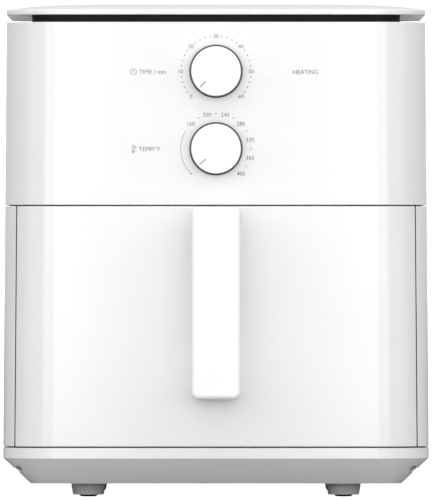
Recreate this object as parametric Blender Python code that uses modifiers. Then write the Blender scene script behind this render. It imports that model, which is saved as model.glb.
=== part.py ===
"""Countertop air fryer with a pull-out basket drawer and two dials.

Metres, +Z up. The front faces -Y, and the origin is on the surface it stands on, under the middle
of its bounding box. Driving dimensions come first, then what is worked out from them, then one
short function for each sub-part.
"""

import math

import bmesh
import bpy
from mathutils import Matrix

# ---------------------------------------------------------------- clearances
FIT = 0.0003  # between pieces that rest on or in each other
SEAM = 0.0008  # visible joint line between casing pieces
RUN = 0.0006  # radial room round a turning shaft

# ---------------------------------------------------------------- casing
BODY_WIDTH = 0.2846  # across the base band, the widest place
BODY_NARROWING = 0.0046  # how much narrower the casing is at its top
BODY_DEPTH = 0.320
CORNER_RADIUS = 0.034
CORNER_SEGMENTS = 7
SHELL_WALL = 0.0026

PAD_PROUD = 0.0013
PAD_RADIUS = 0.0064
PAD_FLAT_RADIUS = 0.003
PAD_DEPTH = 0.003
FOOT_HEIGHT = 0.0078
FOOT_TOP_RADIUS = 0.01185
FOOT_BOTTOM_RADIUS = 0.01025
FOOT_INSET_X = 0.0568  # from the casing's sides
FOOT_INSET_Y = 0.056  # from the front and back faces
SKIRT_HEIGHT = 0.017
SKIRT_INSET = 0.0183
BAND_HEIGHT = 0.007
BOSS_RADIUS = 0.006
DRAWER_HEIGHT = 0.1605
UPPER_HEIGHT = 0.122
VENT_GAP = 0.0049
LID_EDGE = 0.0034
LID_CROWN = 0.0046
LID_CROWN_POWER = 6
LID_CROWN_STEPS = (0.003, 0.009, 0.019, 0.036, 0.070)  # in from the edge

COLLAR_INSET = 0.017  # vent collar, in from the casing's sides
COLLAR_WALL = 0.0024
COLLAR_LEDGE = 0.006  # deck left standing inside the collar
VENT_SLOT_HEIGHT = 0.0024
VENT_SLOT_WIDTH = 0.015
VENT_SLOT_PITCH = 0.022
VENT_SLOTS = 7

SIDE_SLOT_LENGTH = 0.045
SIDE_SLOT_PITCH = 0.060
SIDE_SLOTS = 5
SIDE_SLOT_WIDTH = 0.0046

# ---------------------------------------------------------------- drawer
DRAWER_SIDE_INSET = 0.00845  # side joint line, in from the casing's side
DRAWER_FRONT_DEPTH = 0.024
DRAWER_WALL = 0.0026
LINER_INSET = 0.0046
LINER_THICKNESS = 0.003
SEAL_THICKNESS = 0.0021
SEAL_WIDTH = 0.004
BEZEL_THICKNESS = 0.002
BEZEL_SIDE_GAP = 0.0012
BAY_GAP_SIDE = 0.0178  # air gap between the casing and the bay
BAY_GAP_BACK = 0.034
BAY_WALL = 0.0012
BAY_CORNER = 0.030
BAY_FLOOR_RISE = 0.0030  # bay floor above the base band
BAY_ROOF_DROP = 0.0072  # bay roof below the top of the drawer front
PAN_SIDE_ROOM = 0.0070
PAN_FLOOR_ROOM = 0.0072
PAN_TOP_ROOM = 0.0168
PAN_BACK_ROOM = 0.0160
PAN_WALL = 0.0014
PAN_CORNER = 0.028
PAN_DRAFT = 0.005  # narrower at the floor, each side
PAN_FLOOR_ROUND = 0.004
PAN_RIM = 0.003

HANDLE_WIDTH = 0.0329
HANDLE_HEIGHT = 0.1279
HANDLE_PROUD = 0.046
HANDLE_THICKNESS = 0.016
HANDLE_ARM = 0.017
HANDLE_CORNER = 0.0047
HANDLE_TOP_DROP = 0.0007
GRIP_MARGIN = 0.005
GRIP_THICKNESS = 0.0018
HANDLE_SCREW_RADIUS = 0.0020
HANDLE_SCREW_LENGTH = 0.012
HANDLE_SCREW_HEAD_RADIUS = 0.0042
HANDLE_SCREW_HEAD = 0.0026

PLATE_RISE = 0.0145  # underside of the crisper plate above the pan floor
PLATE_THICKNESS = 0.0020
PLATE_EDGE_ROOM = 0.0035
PLATE_HOLE_RADIUS = 0.0035
PLATE_HOLE_PITCH = 0.024
PLATE_HOLES = 7
PLATE_FOOT_INSET = 0.020
PLATE_FOOT_RADIUS = 0.0060
PLATE_FOOT_NECK = 0.0034
PLATE_FOOT_CAP = 0.0022

# ---------------------------------------------------------------- heating and air
REFLECTOR_MARGIN = 0.004
REFLECTOR_FLANGE = 0.010
REFLECTOR_WALL = 0.0010
REFLECTOR_HEIGHT = 0.043
REFLECTOR_DRAFT = 0.006
REFLECTOR_STEPS = 28
ELEMENT_RADIUS = 0.0033
ELEMENT_WALL_ROOM = 0.0085
ELEMENT_RING_PITCH = 0.013
ELEMENT_HEIGHT = 0.011  # centre of the rings above the bay roof
ELEMENT_LEG = 0.013  # how far its ends stand above the reflector
ELEMENT_GAP_ANGLE = math.radians(24)
GUARD_WIRE = 0.0014
GUARD_RINGS = 3
GUARD_CROSS_ANGLES = (math.radians(41), math.radians(-52))
GUARD_DROP = 0.0035  # centre of the wires below the bay roof
HOT_FAN_ROOM = 0.006
HOT_FAN_BLADE = 0.012
HOT_FAN_DISC = 0.0012
HOT_FAN_BLADES = 8
HOT_FAN_TOP_ROOM = 0.004
COOL_FAN_RADIUS = 0.052
COOL_FAN_BLADE = 0.010
COOL_FAN_BLADES = 7
COOL_FAN_RISE = 0.006
FAN_HUB_RADIUS = 0.008
FAN_BLADE_THICKNESS = 0.0014
SHAFT_RADIUS = 0.003
SHAFT_HOLE_ROOM = 0.004
SHAFT_ABOVE_MOTOR = 0.004
NUT_RADIUS = 0.006
NUT_HEIGHT = 0.004
BRACKET_RISE = 0.022
BRACKET_RADIUS = 0.066
BRACKET_SHEET = 0.0015
BRACKET_LEG_WIDTH = 0.010
BRACKET_LEGS = 4
MOTOR_RADIUS = 0.034
MOTOR_HEIGHT = 0.030
MOTOR_EDGE = 0.004
FUSE_RADIUS = 0.0025
FUSE_LENGTH = 0.022

DUCT_RISE = 0.013  # above the bottom of the upper casing
DUCT_WIDTH = 0.096
DUCT_HEIGHT = 0.040
DUCT_WALL = 0.0012
GRILLE_WIDTH = 0.110
GRILLE_HEIGHT = 0.054
GRILLE_PROUD = 0.006
GRILLE_FACE = 0.0026
GRILLE_CORNER = 0.006
GRILLE_SLOTS = 6
GRILLE_SLOT_HEIGHT = 0.0042
GRILLE_RIM = 0.007

GLAND_INSET = 0.050  # from the casing's side
GLAND_RISE = 0.024  # centre above the base band
GLAND_RADIUS = 0.0125
GLAND_NECK = 0.0095
GLAND_BORE = 0.0042
GLAND_PROUD = 0.004
REAR_SCREW_RADIUS = 0.0036
REAR_SCREW_INSET = 0.044  # from the casing's sides
REAR_SCREW_DROP = 0.030
REAR_SCREW_HEAD = 0.0016

# ---------------------------------------------------------------- controls
KNOB_DROP = 0.033  # upper dial's centre below the top of the upper casing
KNOB_PITCH = 0.0516
KNOB_RADIUS = 0.0167
KNOB_TAPER = 0.0010
KNOB_HEIGHT = 0.0160
KNOB_EDGE = 0.0012
KNOB_RING_MARGIN = 0.00105  # how far it shows round the knob
KNOB_RING_HEIGHT = 0.0035
KNOB_STANDOFF = 0.0006
POINTER_LENGTH = 0.0055
POINTER_WIDTH = 0.0012
POINTER_DEPTH = 0.0007
POINTER_EDGE = 0.0015  # in from the knob's edge
POINTER_ANGLE = math.radians(135)  # anticlockwise from straight up, seen from the front
DIAL_SHAFT_RADIUS = 0.0030
DIAL_SHAFT_GRIP = 0.008
LAMP_X = 0.0487
LAMP_DROP = 0.0334
LAMP_SIZE = 0.0030
LAMP_PROUD = 0.0002
LAMP_BODY_RADIUS = 0.0030
LAMP_BODY_LENGTH = 0.016
CONTROL_SHEET = 0.0012
CONTROL_WIDTH = 0.062
CONTROL_MARGIN = 0.006
TIMER_WIDTH = 0.044
TIMER_DEPTH = 0.030
THERMOSTAT_WIDTH = 0.040
THERMOSTAT_DEPTH = 0.026
BELL_RADIUS = 0.019
BELL_HEIGHT = 0.009
BULB_RADIUS = 0.0026
BULB_LENGTH = 0.036
CAPILLARY_RADIUS = 0.0009
TERMINAL_SIZE = (0.036, 0.016, 0.018)
TERMINAL_INSET = 0.070  # centre, in from the casing's side
TERMINAL_DUCT_GAP = 0.012
SWITCH_SIZE = (0.0100, 0.020, 0.016)
SWITCH_DROP = 0.020

# ---------------------------------------------------------------- worked out: heights
FOOT_BOTTOM = PAD_PROUD
BASE_BOTTOM = FOOT_BOTTOM + FOOT_HEIGHT
BAND_BOTTOM = BASE_BOTTOM + SKIRT_HEIGHT
BASE_TOP = BAND_BOTTOM + BAND_HEIGHT
LOWER_BOTTOM = BASE_TOP + SEAM
LOWER_TOP = LOWER_BOTTOM + DRAWER_HEIGHT
UPPER_BOTTOM = LOWER_TOP + SEAM
UPPER_TOP = UPPER_BOTTOM + UPPER_HEIGHT
LID_BOTTOM = UPPER_TOP + VENT_GAP
LID_TOP = LID_BOTTOM + LID_EDGE + LID_CROWN
BAY_FLOOR = BASE_TOP + BAY_FLOOR_RISE
BAY_ROOF = LOWER_TOP - BAY_ROOF_DROP
PAN_BOTTOM = BAY_FLOOR + BAY_WALL + PAN_FLOOR_ROOM
PAN_TOP = BAY_ROOF - BAY_WALL - PAN_TOP_ROOM
PLATE_BOTTOM = PAN_BOTTOM + PAN_WALL + PLATE_RISE
PLATE_TOP = PLATE_BOTTOM + PLATE_THICKNESS
REFLECTOR_BOTTOM = BAY_ROOF + FIT
REFLECTOR_TOP = REFLECTOR_BOTTOM + REFLECTOR_HEIGHT
BRACKET_FOOT = REFLECTOR_TOP + FIT
BRACKET_TOP = BRACKET_FOOT + BRACKET_RISE
MOTOR_BOTTOM = BRACKET_TOP + FIT
MOTOR_TOP = MOTOR_BOTTOM + MOTOR_HEIGHT
TIME_KNOB_Z = UPPER_TOP - KNOB_DROP
TEMP_KNOB_Z = TIME_KNOB_Z - KNOB_PITCH
LAMP_Z = UPPER_TOP - LAMP_DROP
HANDLE_TOP = LOWER_TOP - HANDLE_TOP_DROP
HANDLE_BOTTOM = HANDLE_TOP - HANDLE_HEIGHT
KNOB_RING_RADIUS = KNOB_RADIUS + KNOB_RING_MARGIN

# ---------------------------------------------------------------- worked out: depth and width
TOTAL_DEPTH = HANDLE_PROUD + BODY_DEPTH + GRILLE_PROUD
FRONT = -TOTAL_DEPTH / 2 + HANDLE_PROUD
BACK = FRONT + BODY_DEPTH
BODY_MID = (FRONT + BACK) / 2
LINER_FRONT = FRONT + DRAWER_FRONT_DEPTH + FIT
LINER_BACK = LINER_FRONT + LINER_THICKNESS
BEZEL_FRONT = LINER_BACK + FIT + SEAL_THICKNESS + 2 * FIT
BEZEL_BACK = BEZEL_FRONT + BEZEL_THICKNESS
BAY_FRONT = BEZEL_BACK + FIT
BAY_BACK = BACK - BAY_GAP_BACK
PAN_FRONT = LINER_BACK + FIT + PAN_RIM
PAN_BACK = BAY_BACK - BAY_WALL - PAN_BACK_ROOM
PAN_MID = (PAN_FRONT + PAN_BACK) / 2
CHAMBER_MID = (BAY_FRONT + BAY_BACK) / 2


def body_half_width(height):
    """Half the casing's width at a height: it narrows evenly from the base band to the top."""
    rise = (height - BAND_BOTTOM) / (UPPER_TOP - BAND_BOTTOM)
    return (BODY_WIDTH - BODY_NARROWING * rise) / 2


def inner_half_width(place_y, height):
    """Half the room between the casing's side walls at a place near the front, where its corner is round."""
    radius = CORNER_RADIUS - SHELL_WALL
    into_corner = max(0.0, radius - (place_y - FRONT - SHELL_WALL))
    return body_half_width(height) - SHELL_WALL - radius + math.sqrt(radius**2 - into_corner**2)


GLAND_X = BODY_WIDTH / 2 - GLAND_INSET
REAR_SCREW_SPREAD = body_half_width(UPPER_TOP) - REAR_SCREW_INSET
DRAWER_HALF = body_half_width(LOWER_TOP) - DRAWER_SIDE_INSET
LINER_HALF = DRAWER_HALF - LINER_INSET
BAY_HALF = body_half_width(LOWER_TOP) - SHELL_WALL - BAY_GAP_SIDE
PAN_TOP_HALF = BAY_HALF - BAY_WALL - PAN_SIDE_ROOM
PAN_FLOOR_HALF = PAN_TOP_HALF - PAN_DRAFT
REFLECTOR_RADIUS = min(BAY_HALF, (BAY_BACK - BAY_FRONT) / 2) - REFLECTOR_MARGIN - REFLECTOR_FLANGE
REFLECTOR_TOP_RADIUS = REFLECTOR_RADIUS - REFLECTOR_DRAFT
ELEMENT_OUTER = REFLECTOR_TOP_RADIUS - ELEMENT_WALL_ROOM
ELEMENT_INNER = ELEMENT_OUTER - ELEMENT_RING_PITCH
HOT_FAN_RADIUS = ELEMENT_INNER - ELEMENT_RADIUS - HOT_FAN_ROOM
HOT_FAN_TOP = REFLECTOR_TOP - REFLECTOR_WALL - HOT_FAN_TOP_ROOM
HOT_FAN_BOTTOM = HOT_FAN_TOP - HOT_FAN_DISC - HOT_FAN_BLADE
COOL_FAN_BOTTOM = REFLECTOR_TOP + COOL_FAN_RISE
BRACKET_REACH = min(BRACKET_RADIUS, REFLECTOR_TOP_RADIUS - BRACKET_LEG_WIDTH)
DUCT_BOTTOM = UPPER_BOTTOM + DUCT_RISE
GRILLE_MID_Z = DUCT_BOTTOM + DUCT_HEIGHT / 2

FINISHES = {
    "white_gloss": ((0.86, 0.86, 0.86), 0.22, 0.0),
    "black_plastic": ((0.02, 0.02, 0.02), 0.45, 0.0),
    "dark_plastic": ((0.09, 0.09, 0.095), 0.5, 0.0),
    "grey_plastic": ((0.42, 0.42, 0.43), 0.5, 0.0),
    "rubber": ((0.015, 0.015, 0.015), 0.8, 0.0),
    "silicone": ((0.10, 0.10, 0.11), 0.7, 0.0),
    "nonstick": ((0.045, 0.045, 0.05), 0.35, 0.2),
    "sheet_steel": ((0.60, 0.61, 0.62), 0.35, 1.0),
    "element_steel": ((0.22, 0.20, 0.19), 0.45, 1.0),
    "aluminium": ((0.75, 0.76, 0.77), 0.3, 1.0),
    "brass": ((0.72, 0.55, 0.25), 0.3, 1.0),
    "clear_lens": ((0.95, 0.95, 0.93), 0.15, 0.0),
    "lamp_glass": ((0.95, 0.55, 0.20), 0.2, 0.0),
    "ceramic": ((0.88, 0.86, 0.80), 0.6, 0.0),
}


# ================================================================ tools
def clear_scene():
    """Removes every object, so that the script can be run again."""
    for obj in list(bpy.data.objects):
        bpy.data.objects.remove(obj, do_unlink=True)


def collection(name):
    """A collection of this name, linked to the scene."""
    found = bpy.data.collections.get(name) or bpy.data.collections.new(name)
    if found.name not in bpy.context.scene.collection.children:
        bpy.context.scene.collection.children.link(found)
    return found


def material(obj, finish):
    """Gives the object its own Principled material."""
    colour, roughness, metallic = FINISHES[finish]
    made = bpy.data.materials.new(obj.name)
    made.use_nodes = True
    shader = made.node_tree.nodes["Principled BSDF"]
    shader.inputs["Base Color"].default_value = (*colour, 1.0)
    shader.inputs["Roughness"].default_value = roughness
    shader.inputs["Metallic"].default_value = metallic
    made.diffuse_color = (*colour, 1.0)
    obj.data.materials.append(made)


def solid(name, bm, at=(0, 0, 0), group="air_fryer"):
    """An object from a bmesh, placed by its location."""
    mesh = bpy.data.meshes.new(name)
    bm.to_mesh(mesh)
    bm.free()
    obj = bpy.data.objects.new(name, mesh)
    obj.location = at
    collection(group).objects.link(obj)
    return obj


def as_tool(obj):
    """Moves a cutter, or a piece joined into another, out of the part's own collection."""
    for holder in list(obj.users_collection):
        holder.objects.unlink(obj)
    collection("tools").objects.link(obj)
    obj.display_type = "WIRE"
    obj.hide_render = True
    return obj


def combine(obj, other, operation):
    """Adds an exact Boolean of another object, which becomes a tool."""
    modifier = obj.modifiers.new(operation.lower(), "BOOLEAN")
    modifier.operation = operation
    modifier.solver = "EXACT"
    modifier.object = as_tool(other)


def cut(obj, *cutters):
    for cutter in cutters:
        combine(obj, cutter, "DIFFERENCE")


def join(obj, *others):
    for other in others:
        combine(obj, other, "UNION")


def hollow(obj, wall):
    """Gives an open surface its wall, on the inner side."""
    modifier = obj.modifiers.new("wall", "SOLIDIFY")
    modifier.thickness = wall
    modifier.offset = -1
    modifier.use_even_offset = True


def block(name, low, high, rounding=0.0):
    """A box between two corners, with all its edges rounded on request."""
    bm = bmesh.new()
    size = [b - a for a, b in zip(low, high)]
    bmesh.ops.create_cube(bm, size=1.0, matrix=Matrix.Diagonal((*size, 1)))
    if rounding:
        bmesh.ops.bevel(bm, geom=bm.edges, offset=rounding, segments=2, profile=0.5, affect="EDGES")
    return solid(name, bm, [(a + b) / 2 for a, b in zip(low, high)])


def upright_edges(bm):
    """The edges that run mostly along Z."""
    return [e for e in bm.edges
            if abs(e.verts[0].co.z - e.verts[1].co.z) > abs(e.verts[0].co.x - e.verts[1].co.x)
            and abs(e.verts[0].co.y - e.verts[1].co.y) < 1e-6]


def casing_form(half_low, half_high, half_depth, height, radius):
    """A bmesh of an upright box with round corners, whose sides may lean; its floor is at z = 0."""
    bm = bmesh.new()
    bmesh.ops.create_cube(bm, size=2.0)
    for vert in bm.verts:
        top = vert.co.z > 0
        vert.co.x *= half_high if top else half_low
        vert.co.y *= half_depth
        vert.co.z = height if top else 0.0
    bmesh.ops.bevel(bm, geom=upright_edges(bm), offset=radius, segments=CORNER_SEGMENTS, profile=0.5,
                    affect="EDGES")
    return bm


def end_face(bm, top):
    """The flat face at the top or at the bottom of a casing form."""
    return max(bm.faces, key=lambda f: f.calc_center_median().z * (1 if top else -1))


def open_end(bm, top):
    bmesh.ops.delete(bm, geom=[end_face(bm, top)], context="FACES_ONLY")


def casing_slice(name, low, high, inset=0.0, half_depth=BODY_DEPTH / 2, openings=()):
    """The casing's outer form between two heights, set in all round on request."""
    bm = casing_form(body_half_width(low) - inset, body_half_width(high) - inset, half_depth - inset,
                     high - low, CORNER_RADIUS - inset)
    for top in openings:
        open_end(bm, top)
    return solid(name, bm, (0, BODY_MID, low))


def turned(name, profile, at, tilt=(0, 0, 0), steps=32):
    """A turned piece: the profile's (radius, height) points run down its outer side."""
    bm = bmesh.new()
    verts = [bm.verts.new((radius, 0, height)) for radius, height in profile]
    for first, second in zip(verts, verts[1:]):
        bm.edges.new((first, second))
    obj = solid(name, bm, at)
    obj.rotation_euler = tilt
    screw = obj.modifiers.new("turn", "SCREW")
    screw.steps = steps
    screw.render_steps = steps
    screw.use_merge_vertices = True
    screw.merge_threshold = 0.00001
    screw.use_smooth_shade = True
    return obj


def rod(name, radius, length, at, tilt=(0, 0, 0), steps=16):
    """A plain turned rod whose base is at its origin."""
    return turned(name, [(0, length), (radius, length), (radius, 0), (0, 0)], at, tilt, steps)


def tube_profile(bore, outer, low, high):
    """A closed turned profile of a tube, down the outside and back up the bore."""
    return [(bore, high), (outer, high), (outer, low), (bore, low), (bore, high)]


def ring(name, bore, outer, low, high, at, tilt=(0, 0, 0), steps=32):
    return turned(name, tube_profile(bore, outer, low, high), at, tilt, steps)


def wire(name, points, radius):
    """A round wire through the points, made a mesh with its caps welded."""
    data = bpy.data.curves.new(name, "CURVE")
    data.dimensions = "3D"
    data.bevel_depth = radius
    data.bevel_resolution = 2
    data.use_fill_caps = True
    spline = data.splines.new("POLY")
    spline.points.add(len(points) - 1)
    for place, point in zip(spline.points, points):
        place.co = (*point, 1)
    curve = bpy.data.objects.new(name + "_curve", data)
    collection("air_fryer").objects.link(curve)
    bpy.context.view_layer.update()
    evaluated = curve.evaluated_get(bpy.context.evaluated_depsgraph_get())
    mesh = bpy.data.meshes.new_from_object(evaluated)
    bpy.data.objects.remove(curve, do_unlink=True)
    bm = bmesh.new()
    bm.from_mesh(mesh)
    bpy.data.meshes.remove(mesh)
    bmesh.ops.remove_doubles(bm, verts=bm.verts, dist=0.00001)
    return solid(name, bm)


def cluster(name, matrices, size):
    """Boxes of one size at several places, as one tool."""
    bm = bmesh.new()
    for matrix in matrices:
        bmesh.ops.create_cube(bm, size=1.0, matrix=matrix @ Matrix.Diagonal((*size, 1)))
    return solid(name, bm)


def dowels(name, places, radius, low, high, sides=6):
    """Upright round cutters at several (x, y) places, as one tool."""
    bm = bmesh.new()
    for x, y in places:
        bmesh.ops.create_cone(bm, cap_ends=True, segments=sides, radius1=radius, radius2=radius,
                              depth=high - low, matrix=Matrix.Translation((x, y, (low + high) / 2)))
    return solid(name, bm)


def spread(count, pitch):
    """Evenly spaced places about zero."""
    return [(i - (count - 1) / 2) * pitch for i in range(count)]


# ================================================================ casing
def lid_rise(step):
    """How far the lid has risen at a distance in from its edge."""
    return LID_CROWN * (1 - (1 - step / body_half_width(UPPER_TOP)) ** LID_CROWN_POWER)


def lid_underside():
    """Height of the lid's inner face over the vent collar's corners, where it is lowest."""
    half = body_half_width(UPPER_TOP)
    lean = math.cos(math.pi / 4)
    corner = half - CORNER_RADIUS * (1 - lean)
    place = half - CORNER_RADIUS + (CORNER_RADIUS - COLLAR_INSET) * lean
    reach = half * (1 - place / corner)
    outer = max((step for step in LID_CROWN_STEPS if step <= reach), default=0.0)
    inner = min(step for step in LID_CROWN_STEPS if step > reach)
    share = (reach - outer) / (inner - outer)
    rise = lid_rise(outer) * (1 - share) + lid_rise(inner) * share
    return LID_BOTTOM + LID_EDGE + rise - SHELL_WALL


def lid_cover():
    """A crowned lid: round-cornered edge, then rings that rise towards the middle."""
    half_width = body_half_width(UPPER_TOP)
    half_depth = BODY_DEPTH / 2
    bm = casing_form(half_width, half_width, half_depth, LID_EDGE, CORNER_RADIUS)
    reached, shrink_x, shrink_y = 0.0, 1.0, 1.0
    for step in LID_CROWN_STEPS:
        rise = lid_rise(step)
        grown = bmesh.ops.extrude_face_region(bm, geom=[end_face(bm, True)])["geom"]
        verts = [g for g in grown if isinstance(g, bmesh.types.BMVert)]
        for vert in verts:
            vert.co.x *= (1 - step / half_width) / shrink_x
            vert.co.y *= (1 - step / half_depth) / shrink_y
            vert.co.z += rise - reached
        inner = [f for f in bm.faces if len(f.verts) > 4 and LID_EDGE / 2 < f.calc_center_median().z
                 < LID_EDGE + rise - 1e-6]
        bmesh.ops.delete(bm, geom=inner, context="FACES_ONLY")
        reached, shrink_x, shrink_y = rise, 1 - step / half_width, 1 - step / half_depth
    open_end(bm, False)
    obj = solid("lid_cover", bm, (0, BODY_MID, LID_BOTTOM))
    hollow(obj, SHELL_WALL)
    return obj


def collar_half(height=UPPER_TOP):
    return body_half_width(height) - COLLAR_INSET


def vent_collar():
    """The black band between the upper casing and the lid, slotted at its sides and back."""
    low, high = UPPER_TOP + FIT, lid_underside() - 2 * FIT
    half_depth = BODY_DEPTH / 2 - COLLAR_INSET
    radius = CORNER_RADIUS - COLLAR_INSET
    bm = casing_form(collar_half(), collar_half(), half_depth, high - low, radius)
    open_end(bm, True)
    open_end(bm, False)
    obj = solid("vent_collar", bm, (0, BODY_MID, low))
    hollow(obj, COLLAR_WALL)
    middle = (UPPER_TOP + LID_BOTTOM) / 2
    rear = (BODY_MID + BACK) / 2
    along_y = [Matrix.Translation((x, rear, middle)) for x in spread(VENT_SLOTS, VENT_SLOT_PITCH)]
    along_x = [Matrix.Translation((0, BODY_MID + y, middle)) for y in spread(VENT_SLOTS + 1, VENT_SLOT_PITCH)]
    cut(obj, cluster("vent_slots_rear", along_y, (VENT_SLOT_WIDTH, BODY_DEPTH / 2, VENT_SLOT_HEIGHT)),
        cluster("vent_slots_side", along_x, (BODY_WIDTH, VENT_SLOT_WIDTH, VENT_SLOT_HEIGHT)))
    return obj


def upper_shell():
    """The upper casing, open below, with its deck opening, dial holes, lamp hole and outlet."""
    obj = casing_slice("upper_shell", UPPER_BOTTOM, UPPER_TOP, openings=(False,))
    hollow(obj, SHELL_WALL)
    ledge = COLLAR_INSET + COLLAR_WALL + COLLAR_LEDGE
    deck = casing_form(body_half_width(UPPER_TOP) - ledge, body_half_width(UPPER_TOP) - ledge,
                       BODY_DEPTH / 2 - ledge, 4 * SHELL_WALL, CORNER_RADIUS - ledge)
    cut(obj, solid("deck_opening", deck, (0, BODY_MID, UPPER_TOP - 2 * SHELL_WALL)))
    for name, height in (("time", TIME_KNOB_Z), ("temp", TEMP_KNOB_Z)):
        cut(obj, rod(name + "_hole", DIAL_SHAFT_RADIUS + RUN, 4 * SHELL_WALL,
                     (0, FRONT + 2 * SHELL_WALL, height), (math.pi / 2, 0, 0)))
    half = LAMP_SIZE / 2 + FIT
    cut(obj, block("lamp_hole", (LAMP_X - half, FRONT - SHELL_WALL, LAMP_Z - half),
                   (LAMP_X + half, FRONT + 2 * SHELL_WALL, LAMP_Z + half)))
    cut(obj, block("outlet_hole", (-DUCT_WIDTH / 2 - FIT, BACK - 2 * SHELL_WALL, DUCT_BOTTOM - FIT),
                   (DUCT_WIDTH / 2 + FIT, BACK + SHELL_WALL, DUCT_BOTTOM + DUCT_HEIGHT + FIT)))
    for side in (-1, 1):
        cut(obj, rod("rear_screw_hole", REAR_SCREW_RADIUS / 2 + FIT, 4 * SHELL_WALL,
                     (side * REAR_SCREW_SPREAD, BACK + 2 * SHELL_WALL, UPPER_TOP - REAR_SCREW_DROP),
                     (math.pi / 2, 0, 0), 12))
    return obj


def drawer_zone(name, grow, back, low, high):
    """A leaning box over the drawer front: its sides follow the casing's sides."""
    bm = bmesh.new()
    bmesh.ops.create_cube(bm, size=2.0)
    for vert in bm.verts:
        height = high if vert.co.z > 0 else low
        vert.co.x *= body_half_width(height) - DRAWER_SIDE_INSET + grow
        vert.co.y = back if vert.co.y > 0 else FRONT - CORNER_RADIUS
        vert.co.z = height
    return solid(name, bm)


def lower_shell():
    """The lower casing: sides and back, open at the front for the drawer."""
    obj = casing_slice("lower_shell", LOWER_BOTTOM, LOWER_TOP, openings=(True, False))
    hollow(obj, SHELL_WALL)
    cut(obj, drawer_zone("drawer_gap", SEAM, FRONT + 2 * CORNER_RADIUS,
                         LOWER_BOTTOM - SEAM, LOWER_TOP + SEAM))
    cut(obj, rod("gland_hole", GLAND_NECK + FIT, 4 * SHELL_WALL,
                 (GLAND_X, BACK + 2 * SHELL_WALL, BASE_TOP + GLAND_RISE), (math.pi / 2, 0, 0), 24))
    return obj


def base_tray():
    """The base: a band, a skirt that slopes in below it, bosses over the feet and side slots."""
    half = BODY_WIDTH / 2
    bm = casing_form(half, body_half_width(BASE_TOP), BODY_DEPTH / 2, BAND_HEIGHT, CORNER_RADIUS)
    bmesh.ops.inset_region(bm, faces=[end_face(bm, False)], thickness=SKIRT_INSET, depth=SKIRT_HEIGHT,
                           use_even_offset=True)
    open_end(bm, True)
    obj = solid("base_tray", bm, (0, BODY_MID, BAND_BOTTOM))
    hollow(obj, SHELL_WALL)
    for x, y in foot_places():
        join(obj, rod("boss", BOSS_RADIUS, BAY_FLOOR - FIT - BASE_BOTTOM - SHELL_WALL / 2,
                      (x, y, BASE_BOTTOM + SHELL_WALL / 2), steps=12))
    slope = math.atan2(SKIRT_HEIGHT, SKIRT_INSET)
    middle = (half - SKIRT_INSET / 2, BAND_BOTTOM - SKIRT_HEIGHT / 2)
    places = [Matrix.Translation((side * middle[0], BODY_MID + y, middle[1]))
              @ Matrix.Rotation(-side * slope, 4, "Y")
              for side in (-1, 1) for y in spread(SIDE_SLOTS, SIDE_SLOT_PITCH)]
    cut(obj, cluster("side_slots", places, (SIDE_SLOT_WIDTH, SIDE_SLOT_LENGTH, 6 * SHELL_WALL)))
    return obj


def foot_places():
    """The feet's (x, y) places."""
    return [(sx * (BODY_WIDTH / 2 - FOOT_INSET_X), BODY_MID + sy * (BODY_DEPTH / 2 - FOOT_INSET_Y))
            for sy in (-1, 1) for sx in (-1, 1)]


def feet():
    """Four tapered feet, each with a domed rubber pad let into it."""
    made = []
    names = ("front_left", "front_right", "rear_left", "rear_right")
    recess = PAD_DEPTH - PAD_PROUD
    for name, (x, y) in zip(names, foot_places()):
        profile = [(0, FOOT_HEIGHT - FIT), (FOOT_TOP_RADIUS, FOOT_HEIGHT - FIT), (FOOT_BOTTOM_RADIUS, 0),
                   (PAD_RADIUS + FIT, 0), (PAD_RADIUS + FIT, recess + FIT), (0, recess + FIT)]
        foot = turned("foot_" + name, profile, (x, y, FOOT_BOTTOM), steps=20)
        dome = [(0, PAD_DEPTH), (PAD_RADIUS, PAD_DEPTH), (PAD_RADIUS, PAD_PROUD)]
        for turn in (0.35, 0.7, 1.0):
            angle = turn * math.pi / 2
            dome.append((PAD_FLAT_RADIUS + (PAD_RADIUS - PAD_FLAT_RADIUS) * math.cos(angle),
                         PAD_PROUD * (1 - math.sin(angle))))
        pad = turned("pad_" + name, dome + [(0, 0)], (x, y, 0), steps=14)
        made += [(foot, "grey_plastic"), (pad, "rubber")]
    return made


# ================================================================ drawer
def drawer_front():
    """The drawer's white front: a tray open at the back, whose corners follow the casing."""
    obj = casing_slice("drawer_front", LOWER_BOTTOM, LOWER_TOP)
    zone = drawer_zone("front_zone", 0, FRONT + DRAWER_FRONT_DEPTH, LOWER_BOTTOM - SEAM, LOWER_TOP + SEAM)
    combine(obj, zone, "INTERSECT")
    inside = casing_slice("front_inside", LOWER_BOTTOM + DRAWER_WALL, LOWER_TOP - DRAWER_WALL, DRAWER_WALL)
    zone = drawer_zone("inside_zone", -DRAWER_WALL, FRONT + 2 * DRAWER_FRONT_DEPTH, LOWER_BOTTOM, LOWER_TOP)
    combine(inside, zone, "INTERSECT")
    cut(obj, inside)
    for height in handle_screw_heights():
        cut(obj, rod("handle_screw_hole", HANDLE_SCREW_RADIUS + FIT, 4 * DRAWER_WALL,
                     (0, FRONT + 2 * DRAWER_WALL, height), (math.pi / 2, 0, 0), 12))
    return obj


def drawer_liner():
    """The dark plate that closes the drawer front and carries the pan."""
    return block("drawer_liner", (-LINER_HALF, LINER_FRONT, LOWER_BOTTOM + LINER_INSET),
                 (LINER_HALF, LINER_BACK, LOWER_TOP - LINER_INSET), LINER_THICKNESS / 4)


def frame_plate(name, half, low, high, front, back, opening_half, opening_low, opening_high):
    """A flat frame: a plate with a rectangular opening through it."""
    obj = block(name, (-half, front, low), (half, back, high))
    reach = 2 * (back - front)
    cut(obj, block(name + "_opening", (-opening_half, front - reach, opening_low),
                   (opening_half, back + reach, opening_high)))
    return obj


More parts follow.
